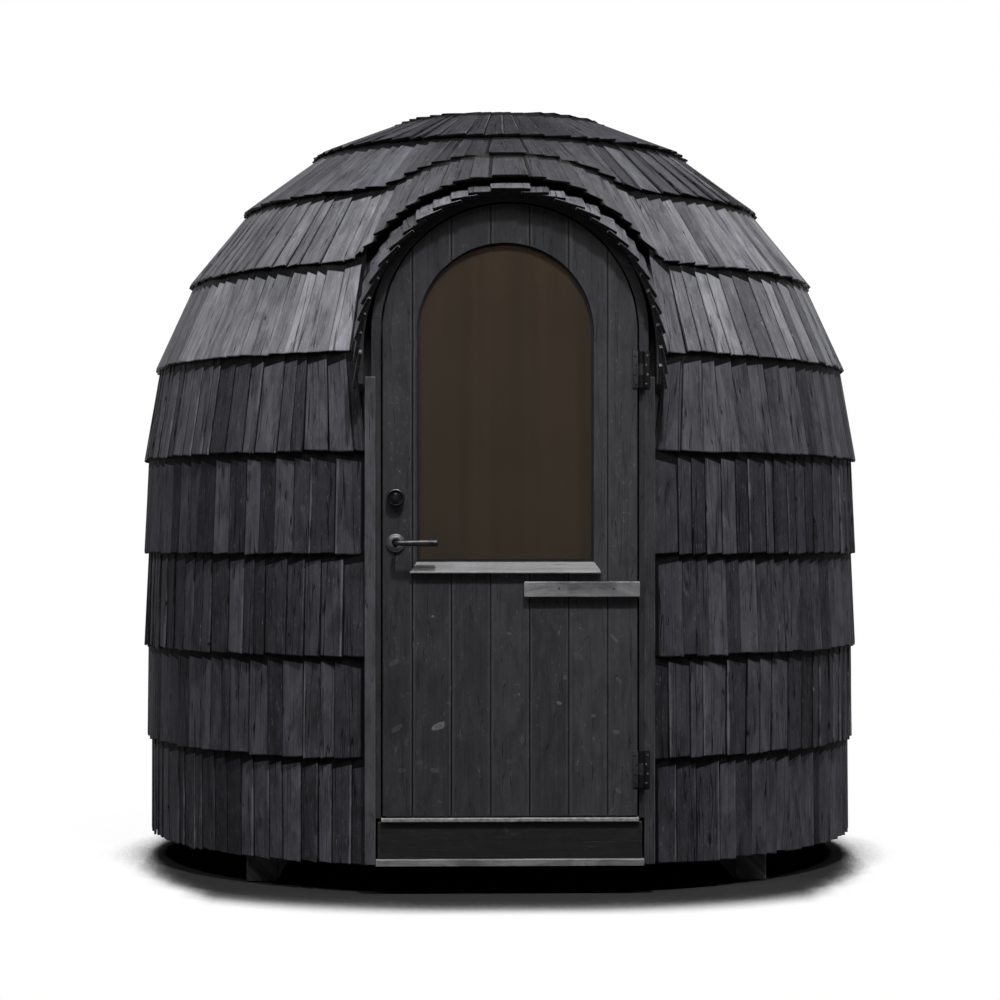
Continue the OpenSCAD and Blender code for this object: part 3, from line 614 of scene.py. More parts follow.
# Shingles: sizes, how they lie, how they follow the hood, then each course's painted sheen and painted
# shade
shingles = {"seed": 11, "narrow": 0.038, "wide": 0.086, "crownWidth": 0.110, "thick": 0.0075,
            "tipThick": 0.005, "lap": 0.008, "topRow": 1.02, "capSink": 0.008,
            "loose": 0.0022, "tilt": 0.0105, "tilts": (0.45, 1.2), "tiltUp": 0.25,
            "tipOut": (0.0065, 0.0085), "drop": 0.004, "ragged": 0.0028, "slant": 0.0016, "slantLean": 0.8,
            "hoodTilt": 0.35, "hoodRagged": 0.5, "hoodDrop": 0.007, "hoodTurn": 0.92, "step": 0.42,
            "stepMost": 0.04, "flat": {8: 0.6, 9: 0.0}, "leanOver": 14.0,
            "tones": {9: 0.5, 10: 0.35}, "hoodTone": 0.85,
            "bleach": {5: 0.06, 6: 0.80, 7: 0.60, 8: 0.12, 9: 0.0}, "sheenSpread": (0.5, 1.4),
            "hoodSheenCut": 0.65, "glowBase": 0.76, "glow": 0.76, "glowAt": 38.0, "glowTurn": 2.6,
            "glowLeast": 0.15, "domeShade": 0.05, "baseShade": {8: 0.22, 9: 0.20, 10: 0.24}, "hoodShade": 0.30}


def straightUp(azimuth):
    return azimuth


def lineLengths(k, start, end, step=0.2):
    # (length along course k's lower line, azimuth) from start to end
    table = [(0.0, start)]
    count = max(2, int(abs(end - start) / step))
    last = linePoint(k, start)
    for i in range(1, count + 1):
        azimuth = start + (end - start) * i / count
        spot = linePoint(k, azimuth)
        table.append((table[-1][0] + (spot - last).length, azimuth))
        last = spot
    return table


def azimuthAt(table, length):
    if length <= 0:
        return table[0][1]
    for (low, first), (high, second) in zip(table, table[1:]):
        if length <= high:
            return first + (second - first) * (length - low) / (high - low)
    return table[-1][1]


def addCourse(heap, dice, k, start, end, proud, upperEdge=straightUp):
    # shingles from azimuth start to end; proud is +1 where the right edges stand out
    table = lineLengths(k, start, end)
    total = table[-1][0]
    widths = []
    while sum(widths) < total:
        widths.append(dice.uniform(shingles["narrow"], shingles["wide"]))
    fitted = total / sum(widths)
    along = 0.0
    for width in widths:
        ends = azimuthAt(table, along), azimuthAt(table, along + width * fitted)
        along += width * fitted
        addShingle(heap, dice, k, min(ends), max(ends), proud, upperEdge)


def sheenAt(k, azimuth):
    # painted sheen on the dome, brightest at glowAt degrees to each side of the door and less over the hood
    turn = math.radians(shingles["glowTurn"] * (abs(azimuth) - shingles["glowAt"]))
    glow = max(shingles["glowLeast"], shingles["glowBase"] + shingles["glow"] * math.cos(turn))
    return shingles["bleach"].get(k, 0.0) * (1.0 - shingles["hoodSheenCut"] * hoodShare(azimuth)) * glow


def addShingle(heap, dice, k, left, right, proud, upperEdge=straightUp):
    middle = (left + right) / 2
    share = hoodShare(middle)
    width = (linePoint(k, right) - linePoint(k, left)).length
    lap = (right - left) * shingles["lap"] / width
    if proud > 0:
        right += lap
    elif proud < 0:
        left -= lap
    low = [linePoint(k, azimuth) for azimuth in (left, right)]
    high = [linePoint(k + 1, upperEdge(azimuth)) for azimuth in (left, right)]
    normal = (low[1] - low[0]).cross((high[0] + high[1]) / 2 - low[0]).normalized()
    flat = share * shingles["flat"].get(k, 1.0)
    depth = cabin["buttDepth"] - cabin["backGap"] - (cabin["buttDepth"] - cabin["tipDepth"]) * flat
    if k == cabin["lastCourse"]:
        depth -= shingles["capSink"]
    outer = depth - dice.uniform(0.0, shingles["loose"])
    tilt = (shingles["tilt"] * (1.0 - shingles["hoodTilt"] * share) * dice.uniform(*shingles["tilts"])
            * abs(proud))
    offsets = (outer - tilt, outer) if proud > 0 else (outer, outer - tilt)
    drop = (dice.uniform(-shingles["ragged"], shingles["ragged"])
            * (1.0 - shingles["hoodRagged"] * share))
    if k == 7:
        drop += shingles["hoodDrop"] * share
    down = (low[0] - high[0]).normalized()
    tipOut = dice.uniform(*shingles["tipOut"])
    slant = (shingles["slantLean"] * proud + dice.uniform(-1.0, 1.0)) * shingles["slant"]
    # on the hood each lower end is cut level, so that the ends step down the arch
    most = shingles["stepMost"]
    slant -= shingles["step"] * max(-most, min(most, low[0].z - low[1].z))
    corners = [low[i] + normal * offsets[i] + down * (drop + shingles["drop"] + slant * (2 * i - 1))
               for i in range(2)]
    corners += [low[i].lerp(high[i], shingles["topRow"])
                + normal * (tipOut + (offsets[i] - outer) * shingles["tiltUp"]) for i in range(2)]
    bleach = sheenAt(k, middle) * dice.uniform(*shingles["sheenSpread"])
    # lower tones on course 9, the cap and over the hood are painted shade
    tone = dice.random() * shingles["tones"].get(k, 1.0) * (1.0 - shingles["hoodTone"] * share)
    addPlank(heap, dice, corners, normal, (shingles["thick"], shingles["tipThick"]), tone,
             bleach=bleach, tuck=proud * shingles["lap"] / (width + shingles["lap"]),
             paintedShade=shingles["domeShade"] * max(share, (k - 7) / 2),
             baseShade=max(shingles["baseShade"].get(k, 0.0), shingles["hoodShade"] * share))


# low and high are shares of the course with the thickness there
underlay = {"spacing": 2.5, "low": (0.02, 0.010), "high": (1.0, 0.002), "hoodThin": 0.7, "tone": 0.1,
            "grain": (0.05, 0.3)}


def addUnderlay(heap, k, start, end, upperEdge=straightUp):
    # dark second layer behind the shingles, set back from their lower edge
    count = max(6, int(abs(end - start) / underlay["spacing"]))
    grid = []
    for j, (v, off) in enumerate((underlay["low"], underlay["high"])):
        row = []
        for i in range(count + 1):
            azimuth = start + (end - start) * i / count
            low, high = linePoint(k, azimuth), linePoint(k + 1, upperEdge(azimuth))
            side = linePoint(k, azimuth + 0.5) - linePoint(k, azimuth - 0.5)
            normal = side.cross(high - low).normalized()
            spot = low.lerp(high, v)
            thick = off * (1.0 - underlay["hoodThin"] * hoodShare(azimuth))
            row.append((spot + normal * thick, spot, (i * underlay["grain"][0], j * underlay["grain"][1]),
                        0.0, 0.0))
        grid.append(row)
    heap.addGrid(grid, underlay["tone"])


def hoodEdge(z, depth, grow):
    # half width of the hood's outside at height z, depth behind its front edge
    up = z - hood["middleZ"] - depth * math.tan(hood["slope"])
    radius = hood["half"] + grow
    if up < 0:
        return radius
    share = up * math.cos(hood["slope"]) / radius
    return radius * math.sqrt(1.0 - share * share) if share < 1.0 else 0.0


def courseEdge(k, v):
    # azimuth at which course k's shingles end beside the door, v of the way up
    low, high = Vector(courseLine(k, cabin["midDepth"])), Vector(courseLine(k + 1, cabin["midDepth"]))
    radius, height = low.lerp(high, v)
    half = trimHalf = highCorner("trim_right").x + cabin["trimGap"]
    for _ in range(3):
        depth = hood["lipY"] - math.sqrt(radius * radius - half * half)
        if height > hood["legZ"]:
            half = max(trimHalf, hoodEdge(height, depth, hood["eaveDepth"] + cabin["eaveGap"]))
    return math.degrees(math.asin(half / radius))


def buildWallCourses():
    dice = random.Random(shingles["seed"])
    for k in range(1, 7):
        heap = Heap()
        proud = 1 if k % 2 else -1
        start, upper = courseEdge(k, 0.0), courseEdge(k, 1.0)

        def upperEdge(azimuth, start=start, upper=upper):
            # only the shingles near the door lean to follow its edge
            near = max(0.0, 1.0 - (abs(azimuth) - start) / shingles["leanOver"])
            return math.copysign(abs(azimuth) + (upper - start) * near, azimuth)
        for side in (1, -1):
            addCourse(heap, dice, k, side * start, side * 180.0, proud, upperEdge)
            addUnderlay(heap, k, side * start, side * 180.0, upperEdge)
        heap.build(f"shinglesCourse{k}", "shingle", "cabin", "shingles", f"course_{k}")


def buildDomeCourses():
    dice = random.Random(shingles["seed"] + 1)
    for k in (7, 8):
        heap = Heap()
        half = math.degrees(shingles["crownWidth"] / 2 / abs(linePoint(k, 0).y))
        turn = hood["angle"] * shingles["hoodTurn"]
        addShingle(heap, dice, k, -half, half, 0)
        for side in (1, -1):
            addCourse(heap, dice, k, side * half, side * turn, side)
            addCourse(heap, dice, k, side * turn, side * 180.0, 1 if k % 2 else -1)
            addUnderlay(heap, k, 0.0, side * 180.0)
        heap.build(f"shinglesCourse{k}", "shingle", "cabin", "shingles", f"course_{k}",
                   f"hood_course_{k}")
    heap = Heap()
    addCourse(heap, dice, 9, -180.0, 180.0, 1)
    addUnderlay(heap, 9, -180.0, 180.0)
    heap.build("shinglesCourse9", "shingle", "cabin", "shingles", "course_9")
    heap = Heap()
    addCourse(heap, dice, 10, -180.0, 180.0, -1)
    heap.build("shinglesCap", "shingle", "cabin", "shingles", "course_cap")


eave = {"narrow": 0.046, "wide": 0.062, "least": 0.02, "thick": 0.0095, "lap": 0.024, "sink": 0.014,
        "laps": (0.8, 1.15), "loose": 0.002, "ragged": 0.0045, "buttRagged": 0.001, "tuck": 0.030,
        "legGap": 0.012, "legStep": 0.004, "steps": 90, "bleach": 0.4, "sheenSpread": (0.6, 1.3)}


def eavePoint(length):
    # point and outward direction on the eave's front edge, measured from the crown
    side = math.copysign(1.0, length)
    last, walked = Vector((0.0, -hood["lipY"], hood["crownZ"])), 0.0
    for i in range(1, eave["steps"] + 1):
        angle = math.pi / 2 * (1 - i / eave["steps"])
        spot = Vector((side * hood["half"] * math.cos(angle), -hood["lipY"],
                       hood["middleZ"] + hood["half"] / math.cos(hood["slope"]) * math.sin(angle)))
        piece = (spot - last).length
        if walked + piece >= abs(length):
            found = last.lerp(spot, (abs(length) - walked) / piece)
            outward = Vector((found.x, 0.0, (found.z - hood["middleZ"]) * math.cos(hood["slope"]) ** 2))
            return found, outward.normalized()
        last, walked = spot, walked + piece
    leg = Vector((side * hood["half"], -hood["lipY"], hood["middleZ"] - (abs(length) - walked)))
    return leg, Vector((side, 0.0, 0.0))


def eaveReach(spot):
    # how far back an eave shingle runs: under course 7, or to the boarded wall
    share = min(1.0, abs(spot.x) / courseLine(7, cabin["backGap"])[0])
    under = hood["lipY"] + linePoint(7, math.degrees(math.asin(share))).y + eave["tuck"]
    depth = under
    for _ in range(4):
        radius = cabin["wallRadius"] + cabin["eaveGap"]
        over = max(0.0, spot.z + depth * math.tan(hood["slope"]) - cabin["springZ"])
        wall = hood["lipY"] - math.sqrt(max(0.0, max(0.01, radius ** 2 - over ** 2) - spot.x ** 2))
        depth = min(under, wall)
    return depth


def addEavePlank(heap, dice, side, near, far, axis):
    # near is the edge towards the crown; it dips under its neighbour, inside the arch
    sign = side or 1
    outer = inner = hood["eaveDepth"] - dice.uniform(0.0, eave["loose"])
    first, second = eavePoint(sign * near)[0], eavePoint(sign * far)[0]
    middle, outward = eavePoint(sign * (near + far) / 2)
    if side:
        first = first - (second - first).normalized() * eave["lap"] * dice.uniform(*eave["laps"])
        inner = eave["thick"] - eave["sink"] * dice.uniform(*eave["laps"])
    drop = Vector((0.0, dice.uniform(0.0, eave["ragged"]), 0.0))
    length = eaveReach(middle) / math.cos(hood["slope"])
    low = [first + outward * inner + drop, second + outward * outer + drop]
    if side < 0:
        low.reverse()
    high = [spot + axis * length for spot in low]
    normal = (low[1] - low[0]).cross(high[0] - low[0]).normalized()
    addPlank(heap, dice, low + high, normal, (eave["thick"], eave["thick"]), dice.random(),
             eave["buttRagged"], eave["bleach"] * dice.uniform(*eave["sheenSpread"]))


def buildEave():
    heap = Heap()
    dice = random.Random(shingles["seed"] + 2)
    axis = Vector((0.0, math.cos(hood["slope"]), math.sin(hood["slope"])))
    legEnd = 0.0
    while eavePoint(legEnd)[0].z > hood["legZ"] + eave["legGap"]:
        legEnd += eave["legStep"]
    half = shingles["crownWidth"] / 2
    for side in (1, -1):
        along = half
        while along < legEnd:
            width = min(dice.uniform(eave["narrow"], eave["wide"]), legEnd - along)
            if legEnd - along - width < eave["least"]:
                width = legEnd - along
            addEavePlank(heap, dice, side, along, along + width, axis)
            along += width
    addEavePlank(heap, dice, 0, -half, half, axis)
    heap.build("eaveShingles", "shingle", "cabin", "shingles", "hood_eave_course")


buildWallCourses()
print("wall shingles laid")
buildDomeCourses()
print("dome shingles laid")
buildEave()
print("eave shingles laid")


# Boards: bars with worn, bevelled edges along one axis
board = {"bevel": 0.0016, "wornBand": 0.0035, "wander": 0.0005, "spacing": 0.12, "inner": 7,
         "endRow": 2.5, "shift": 9.0, "trimSink": 0.004}


def barSection(low, high, bevel):
    # sixteen points of a rectangle with bevelled corners, and their wear
    band = board["wornBand"] + bevel
    around = ((0, band, 0.0), (0, bevel, 1.0), (bevel, 0, 1.0), (band, 0, 0.0))
    corners = ((low[0], low[1], 1, 1, around), (high[0], low[1], -1, 1, around[::-1]),
               (high[0], high[1], -1, -1, around), (low[0], high[1], 1, -1, around[::-1]))
    spots, wears = [], []
    for x, y, inX, inY, steps in corners:
        for aside, up, wear in steps:
            spots.append((x + inX * aside, y + inY * up))
            wears.append(wear)
    return spots, wears


def addBar(heap, dice, low, high, axis, tone=0.5, bevel=None, back=None):
    # back, where given, is the depth of the bar's rear face at each height
    bevel = bevel or board["bevel"]
    others = [i for i in range(3) if i != axis]
    span = high[axis] - low[axis]
    ends = (bevel / span, board["endRow"] * bevel / span)
    stations = [0.0, *ends] + [board["spacing"] * i for i in range(1, board["inner"] + 1)]
    stations += [1.0 - ends[1], 1.0 - ends[0], 1.0]
    rings, ringWears = [], []
    for i, share in enumerate(stations):
        end = i in (0, len(stations) - 1)
        inset = bevel if end else 0.0
        place = low[axis] + span * share
        lows = [low[j] + inset for j in others]
        highs = [high[j] - inset for j in others]
        if back:
            highs[1] = back(place) - inset
        if not end:
            lows = [value + dice.uniform(0.0, board["wander"]) for value in lows]
            highs = [value - dice.uniform(0.0, board["wander"]) for value in highs]
        spots, wears = barSection(lows, highs, bevel)
        rings.append([(*spot[:axis], place, *spot[axis:]) for spot in spots])
        worn = i < 2 or i > len(stations) - 3
        ringWears.append([1.0] * len(spots) if worn else wears)
    heap.addLoft(rings, axis, tone, ringWears, dice.uniform(0.0, board["shift"]))


def trimBack(node):
    # depth of the wall behind a strip of trim, at each height
    edge = abs(lowCorner(node).x + highCorner(node).x) / 2

    def depth(z):
        radius, over = wallAt(max(z, cabin["footZ"])), max(0.0, z - cabin["springZ"])
        return -math.sqrt(radius ** 2 - over ** 2 - edge ** 2) + board["trimSink"]
    return depth


# each board's name, paint, axis of its grain, body, slot, tone and bevel
boards = {"bearer_left": ("bearerLeft", "board", 1, "cabin", "blackened_wood", 0.5, 0.004),
          "bearer_right": ("bearerRight", "board", 1, "cabin", "blackened_wood", 0.5, 0.004),
          "base_strip": ("baseStrip", "worn", 0, "cabin", "weathered_trim", 0.66, None),
          "riser_board": ("riserBoard", "riser", 0, "cabin", "blackened_wood", 0.05, None),
          # painted light and shade: the left trim gets a lighter tone, the right trim a darker one
          "trim_left": ("trimLeft", "trim", 2, "cabin", "weathered_trim", 0.7, None),
          "trim_right": ("trimRight", "trim", 2, "cabin", "weathered_trim", 0.0, None),
          "door_batten": ("doorBatten", "worn", 0, "door", "weathered_trim", 0.75, None),
          "threshold": ("thresholdBar", "threshold", 0, "cabin", "threshold_metal", 0.5, 0.002)}


def buildBoards():
    for node, (name, paint, axis, body, slot, tone, bevel) in boards.items():
        heap = Heap()
        back = trimBack(node) if node.startswith("trim") else None
        addBar(heap, random.Random(node), *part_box(node), axis, tone, bevel, back)
        heap.build(name, paint, body, slot, node)


# The sill under the glass: rings up its front edge as height and inset, then shares of its sloped top
sill = {"edgeRings": ((0.0, 0.0012), (0.0012, 0.0), (0.0036, 0.0), (0.0044, 0.0006)), "edgeHigh": 0.004,
        "slopeShares": (0.5, 0.97, 1.0), "topHalf": 0.2465, "topBack": 0.013, "topEdge": 0.001,
        "bevel": 0.0006, "shift": 2.0}


def buildSill():
    low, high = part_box("glass_sill")
    height = high.z - low.z
    nose = (high.x - low.x) / 2 - sill["topHalf"]
    stations = [(low.z + up, inset, inset, True) for up, inset in sill["edgeRings"]]
    for share in sill["slopeShares"]:
        z, top = low.z + share * height, share == 1.0
        slope = (z - low.z - sill["edgeHigh"]) / (height - sill["edgeHigh"])
        edge = sill["topEdge"] if top else 0.0
        stations.append((z, nose * slope + edge, sill["topBack"] * slope + edge, top))
    rings, wears = [], []
    for z, inside, front, worn in stations:
        spots, wear = barSection((low.x + inside, low.y + front), (high.x - inside, high.y),
                                 sill["bevel"])
        rings.append([(*spot, z) for spot in spots])
        wears.append([1.0] * len(spots) if worn else wear)
    heap = Heap()
    heap.addLoft(rings, 0, 0.5, wears, sill["shift"])
    heap.build("glassSill", "sill", "door", "bare_sill", "glass_sill")


def turns(count):
    return [2 * math.pi * j / count for j in range(count)]


# Turned metal: rings of (radius, height) round an axis that faces the front or the inside
def addTurned(heap, centre, profile, facing=-1, count=40, stretch=1.0):
    rings = []
    for radius, height in profile:
        ring = []
        for angle in turns(count):
            reach = radius(angle) if callable(radius) else radius
            ring.append((centre[0] + reach * math.cos(angle), centre[1] + facing * height,
                         centre[2] + reach * stretch * math.sin(angle)))
        rings.append(ring)
    heap.addLoft(rings)


def crossShape(arm, width):
    def reach(angle):
        turn = abs((angle + math.pi / 4) % (math.pi / 2) - math.pi / 4)
        return min(arm / math.cos(turn), width / max(0.05, math.sin(turn)) if turn > 0.2 else arm)
    return reach


def slotShape(long, wide):
    def reach(angle):
        return 1.0 / math.sqrt((math.cos(angle) / wide) ** 2 + (math.sin(angle) / long) ** 2)
    return reach


# profile: shares of the radius and of the height
screw = {"radius": 0.0036, "high": 0.0011, "profile": ((1.0, 0.0), (1.0, 0.4), (0.85, 0.85), (0.7, 1.0)),
         "cross": 0.0021, "crossWidth": 0.0006, "deep": 0.0008, "count": 48}


def addScrew(heap, centre, scale=1.0):
    radius, high = screw["radius"] * scale, screw["high"]
    cross = crossShape(screw["cross"] * scale, screw["crossWidth"] * scale)
    profile = [(radius * share, high * up) for share, up in screw["profile"]]
    profile += [(cross, high), (cross, high - screw["deep"])]
    addTurned(heap, centre, profile, count=screw["count"])


# rim profiles are given as distance inside the rim and height, the others as radius and height
lock = {"rim": ((0.0, 0.0), (0.0, 0.0148), (0.0008, 0.0176), (0.0022, 0.0192), (0.0038, 0.0199),
                (0.0052, 0.0196), (0.0066, 0.0180), (0.0072, 0.0150), (0.0074, 0.0062), (0.0090, 0.0055)),
        "bore": ((0.0110, 0.0055),), "slot": (0.0044, 0.0008), "slotHeights": (0.0167, 0.0120),
        "plug": ((0.0098, 0.0050), (0.0098, 0.0150), (0.0092, 0.0160), (0.0084, 0.0164),
                 (0.0066, 0.0164), (0.0064, 0.0160), (0.0060, 0.0160), (0.0058, 0.0166)),
        "stretch": 1.22, "count": 64}
rose = {"rim": ((0.0, 0.0), (0.0, 0.0040), (0.0006, 0.0052), (0.0018, 0.0060), (0.0040, 0.0064),
                (0.0046, 0.0058), (0.0052, 0.0064), (0.0070, 0.0074), (0.0110, 0.0079)),
        "bore": ((0.0112, 0.0079), (0.0103, 0.0074), (0.0096, 0.0060), (0.0094, 0.0)), "count": 64}


def addRim(heap, centre, rim, setting, facing=-1):
    profile = [(rim - inside, height) for inside, height in setting["rim"]]
    addTurned(heap, centre, (*profile, *setting["bore"]), facing, setting["count"])


def buildLock():
    low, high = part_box("lock_cylinder")
    centre = ((low.x + high.x) / 2, high.y, (low.z + high.z) / 2)
    heap = Heap()
    addRim(heap, centre, (high.x - low.x) / 2, lock)
    slot = slotShape(*lock["slot"])
    addTurned(heap, centre, (*lock["plug"], *((slot, height) for height in lock["slotHeights"])),
              count=lock["count"], stretch=lock["stretch"])
    heap.build("lockCylinder", "lock", "door", "handle_metal", "lock_cylinder", smooth=True)


def buildRoses():
    for name, node, facing in (("handleRose", "handle_rose", -1), ("innerRose", "inner_rose", 1)):
        low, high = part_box(node)
        middle = middleOf(node)
        heap = Heap()
        addRim(heap, (middle.x, high.y if facing < 0 else low.y, middle.z), (high.x - low.x) / 2, rose,
               facing)
        heap.build(name, "rose", "door", "handle_metal", node, smooth=True)


# steps are those of the bend, the arm and the rounded tip
lever = {"neck": 0.0066, "bend": 0.013, "high": 0.0090, "flat": 0.0062, "tip": 0.006, "off": 0.004,
         "endGap": 0.0004, "bendSwell": 0.3, "armSwell": 0.7, "swellTurn": 0.62, "steps": (8, 14, 6),
         "tipLeast": 0.02, "count": 28}


def addLeverArm(heap, start, facing, out, reach):
    # from the leaf's face out along the spindle, round a bend and along the arm
    bend, tip, quarter = lever["bend"], lever["tip"], math.pi / 2
    bendSteps, armSteps, tipSteps = lever["steps"]
    straight = out - bend
    stations = [(0.0, straight * share, 0.0, 0.0, 1.0) for share in (0.0, 0.5, 1.0)]
    for i in range(1, bendSteps + 1):
        angle = quarter * i / bendSteps
        stations.append((bend * (1 - math.cos(angle)), straight + bend * math.sin(angle), angle,
                         lever["bendSwell"] * i / bendSteps, 1.0))
    for i in range(1, armSteps + 1):
        share = i / armSteps
        swell = lever["bendSwell"] + lever["armSwell"] * math.sin(math.pi * share * lever["swellTurn"])
        stations.append((bend + (reach - bend - tip) * share, out, quarter, swell, 1.0))
    for i in range(1, tipSteps + 1):
        angle = quarter * i / tipSteps
        stations.append((reach - tip + tip * math.sin(angle), out, quarter, swell,
                         max(lever["tipLeast"], math.cos(angle))))
    rings = []
    for x, y, turn, swell, size in stations:
        high = (lever["neck"] + (lever["high"] - lever["neck"]) * swell) * size
        flat = (lever["neck"] + (lever["flat"] - lever["neck"]) * swell) * size
        rings.append([(start[0] + x - flat * math.cos(angle) * math.cos(turn),
                       start[1] + facing * (y + flat * math.cos(angle) * math.sin(turn)),
                       start[2] + high * math.sin(angle)) for angle in turns(lever["count"])])
    heap.addLoft(rings)


def buildLever():
    low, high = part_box("lever_handle")
    leafLow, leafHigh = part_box("door_leaf")
    centreX, off = middleOf("handle_rose").x, lever["off"]
    height, thick = (low.z + high.z) / 2, (high.z - low.z) / 2
    reach = high.x - centreX - lever["endGap"]
    heap = Heap()
    addLeverArm(heap, (centreX, leafLow.y - off, height), -1, leafLow.y - low.y - thick - off, reach)
    addLeverArm(heap, (centreX, leafHigh.y + off, height), 1, high.y - leafHigh.y - thick - off, reach)
    heap.build("leverHandle", "lever", "lever", "handle_metal", "lever_handle", smooth=True)


# plate rings and knuckle ends are given as inset and depth, or as share of the radius
hinge = {"high": 0.104, "thick": 0.003, "pinX": 0.366, "pinY": -1.0735, "plateGap": 0.008,
         "corner": 0.004, "cornerSteps": 5, "plateEdge": ((0.0, 0.0007), (0.0005, 0.0002), (0.001, 0.0)),
         "knuckle": 0.0068, "knuckleGap": 0.0004, "endHigh": 0.0008, "endShare": 0.86, "count": 28,
         "reach": 0.0088, "wingShort": 0.001, "wingThin": 0.0002, "wingBevel": 0.0003,
         "pinHigh": 0.003, "pinRadius": 0.0050, "screws": 4, "screwGap": 0.026, "stagger": 0.0022,
         "screwScale": 0.85}
battenScrew = {"shares": (0.30, 0.775), "sunk": 0.0011, "up": 0.002}


def addHingePlate(heap, left, right, front, middle):
    # a thin plate with rounded corners
    rings = []
    corner, steps = hinge["corner"], hinge["cornerSteps"]
    half = hinge["high"] / 2
    for inset, depth in ((0.0, hinge["thick"]), *hinge["plateEdge"]):
        ring = []
        for quarter, (x, z, inX, inZ) in enumerate(((right, half, -1, -1), (left, half, 1, -1),
                                                    (left, -half, 1, 1), (right, -half, -1, 1))):
            for i in range(steps + 1):
                angle = math.pi / 2 * (quarter + i / steps)
                ring.append((x + inX * corner + (corner - inset) * math.cos(angle), front + depth,
                             middle + z + inZ * corner + (corner - inset) * math.sin(angle)))
        rings.append(ring)
    heap.addLoft(rings)


def addKnuckle(heap, low, high, radius):
    end, share = hinge["endHigh"], hinge["endShare"]
    heap.addLoft([[(hinge["pinX"] + radius * size * math.cos(angle),
                    hinge["pinY"] + radius * size * math.sin(angle), z) for angle in turns(hinge["count"])]
                  for z, size in ((low, share), (low + end, 1.0), (high - end, 1.0), (high, share))])


def buildHinges():
    frameHigh = highCorner("hinges_frame")
    leafLow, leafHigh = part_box("hinges_leaf")
    pinX, gap, reach = hinge["pinX"], hinge["plateGap"], hinge["reach"]
    front = leafHigh.y - hinge["thick"]
    frameHeap, leafHeap, frameScrews, leafScrews, battenScrews = [Heap() for _ in range(5)]
    for middle in (leafLow.z + hinge["high"] / 2, leafHigh.z - hinge["high"] / 2):
        bottom, third = middle - hinge["high"] / 2, hinge["high"] / 3
        addHingePlate(frameHeap, pinX + gap, frameHigh.x, front, middle)
        addHingePlate(leafHeap, leafLow.x, pinX - gap, front, middle)
        for i, (heap, wing) in enumerate(((frameHeap, reach), (leafHeap, -reach), (frameHeap, reach))):
            low = bottom + i * third + hinge["knuckleGap"]
            high = bottom + (i + 1) * third - hinge["knuckleGap"]
            addKnuckle(heap, low, high, hinge["knuckle"])
            left, right = sorted((pinX, pinX + wing))
            addBar(heap, random.Random(i), (left, front, low + hinge["wingShort"]),
                   (right, front + hinge["thick"] - hinge["wingThin"], high - hinge["wingShort"]), 2, 0.5,
                   hinge["wingBevel"])
        addKnuckle(frameHeap, bottom, bottom + hinge["pinHigh"], hinge["pinRadius"])
        for i in range(hinge["screws"]):
            z = middle + (i - (hinge["screws"] - 1) / 2) * hinge["screwGap"]
            aside = hinge["stagger"] if i % 2 else -hinge["stagger"]
            addScrew(frameScrews, ((pinX + gap + frameHigh.x) / 2 + aside, front, z), hinge["screwScale"])
            addScrew(leafScrews, ((leafLow.x + pinX - gap) / 2 - aside, front, z), hinge["screwScale"])
    low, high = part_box("door_batten")
    for share in battenScrew["shares"]:
        addScrew(battenScrews, (low.x + (high.x - low.x) * share, low.y + battenScrew["sunk"],
                                (low.z + high.z) / 2 + battenScrew["up"]))
    frameHeap.build("hingesFrame", "hinge", "cabin", "hinge_paint", "hinges_frame", smooth=True)
    leafHeap.build("hingesLeaf", "leafHinge", "door", "hinge_paint", "hinges_leaf", smooth=True)
    frameScrews.build("frameScrews", "pin", "cabin", "handle_metal", smooth=True)
    leafScrews.build("doorScrews", "leafHinge", "door", "handle_metal", smooth=True)
    battenScrews.build("battenScrews", "hinge", "door", "handle_metal", smooth=True)


buildBoards()
buildSill()
print("boards laid")
buildLock()
buildRoses()
buildLever()
buildHinges()
print("metal pieces made")


# Frame nodes that stay, by their paint
nodePaints = {
    "boardX": ("floor_rim", "frame_head"), "boardY": ("hood_shell",), "boardZ": ("jamb_left", "jamb_right"),
    "staves": ("wall_front_left", "wall_front_right", "wall_back_left", "wall_back_right",
               "dome_front_left", "dome_front_right", "dome_back_left", "dome_back_right"),
    "deck": ("floor_deck",), "doorBoards": ("door_leaf",), "glass": ("glass_pane",),
    "gasket": ("glass_gasket",)}
for paintName, nodeNames in nodePaints.items():
    for nodeName in nodeNames:
        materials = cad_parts[nodeName].data.materials
        materials.clear()
        materials.append(paints[paintName])
print("nodes painted")


# Stage, lights and camera
stage = {"half": 60.0, "seenShade": 0.9, "bounceShade": 0.12, "reach": 0.40, "samples": 16,
         "openStops": ((0.82, 0.0), (0.90, 0.13), (0.985, 1.0)), "litShare": 0.03, "litFrom": 1.25,
         "litTo": 1.9, "sideFrom": 0.82, "sideTo": 1.12, "sideLight": 0.30, "ambient": 0.02}


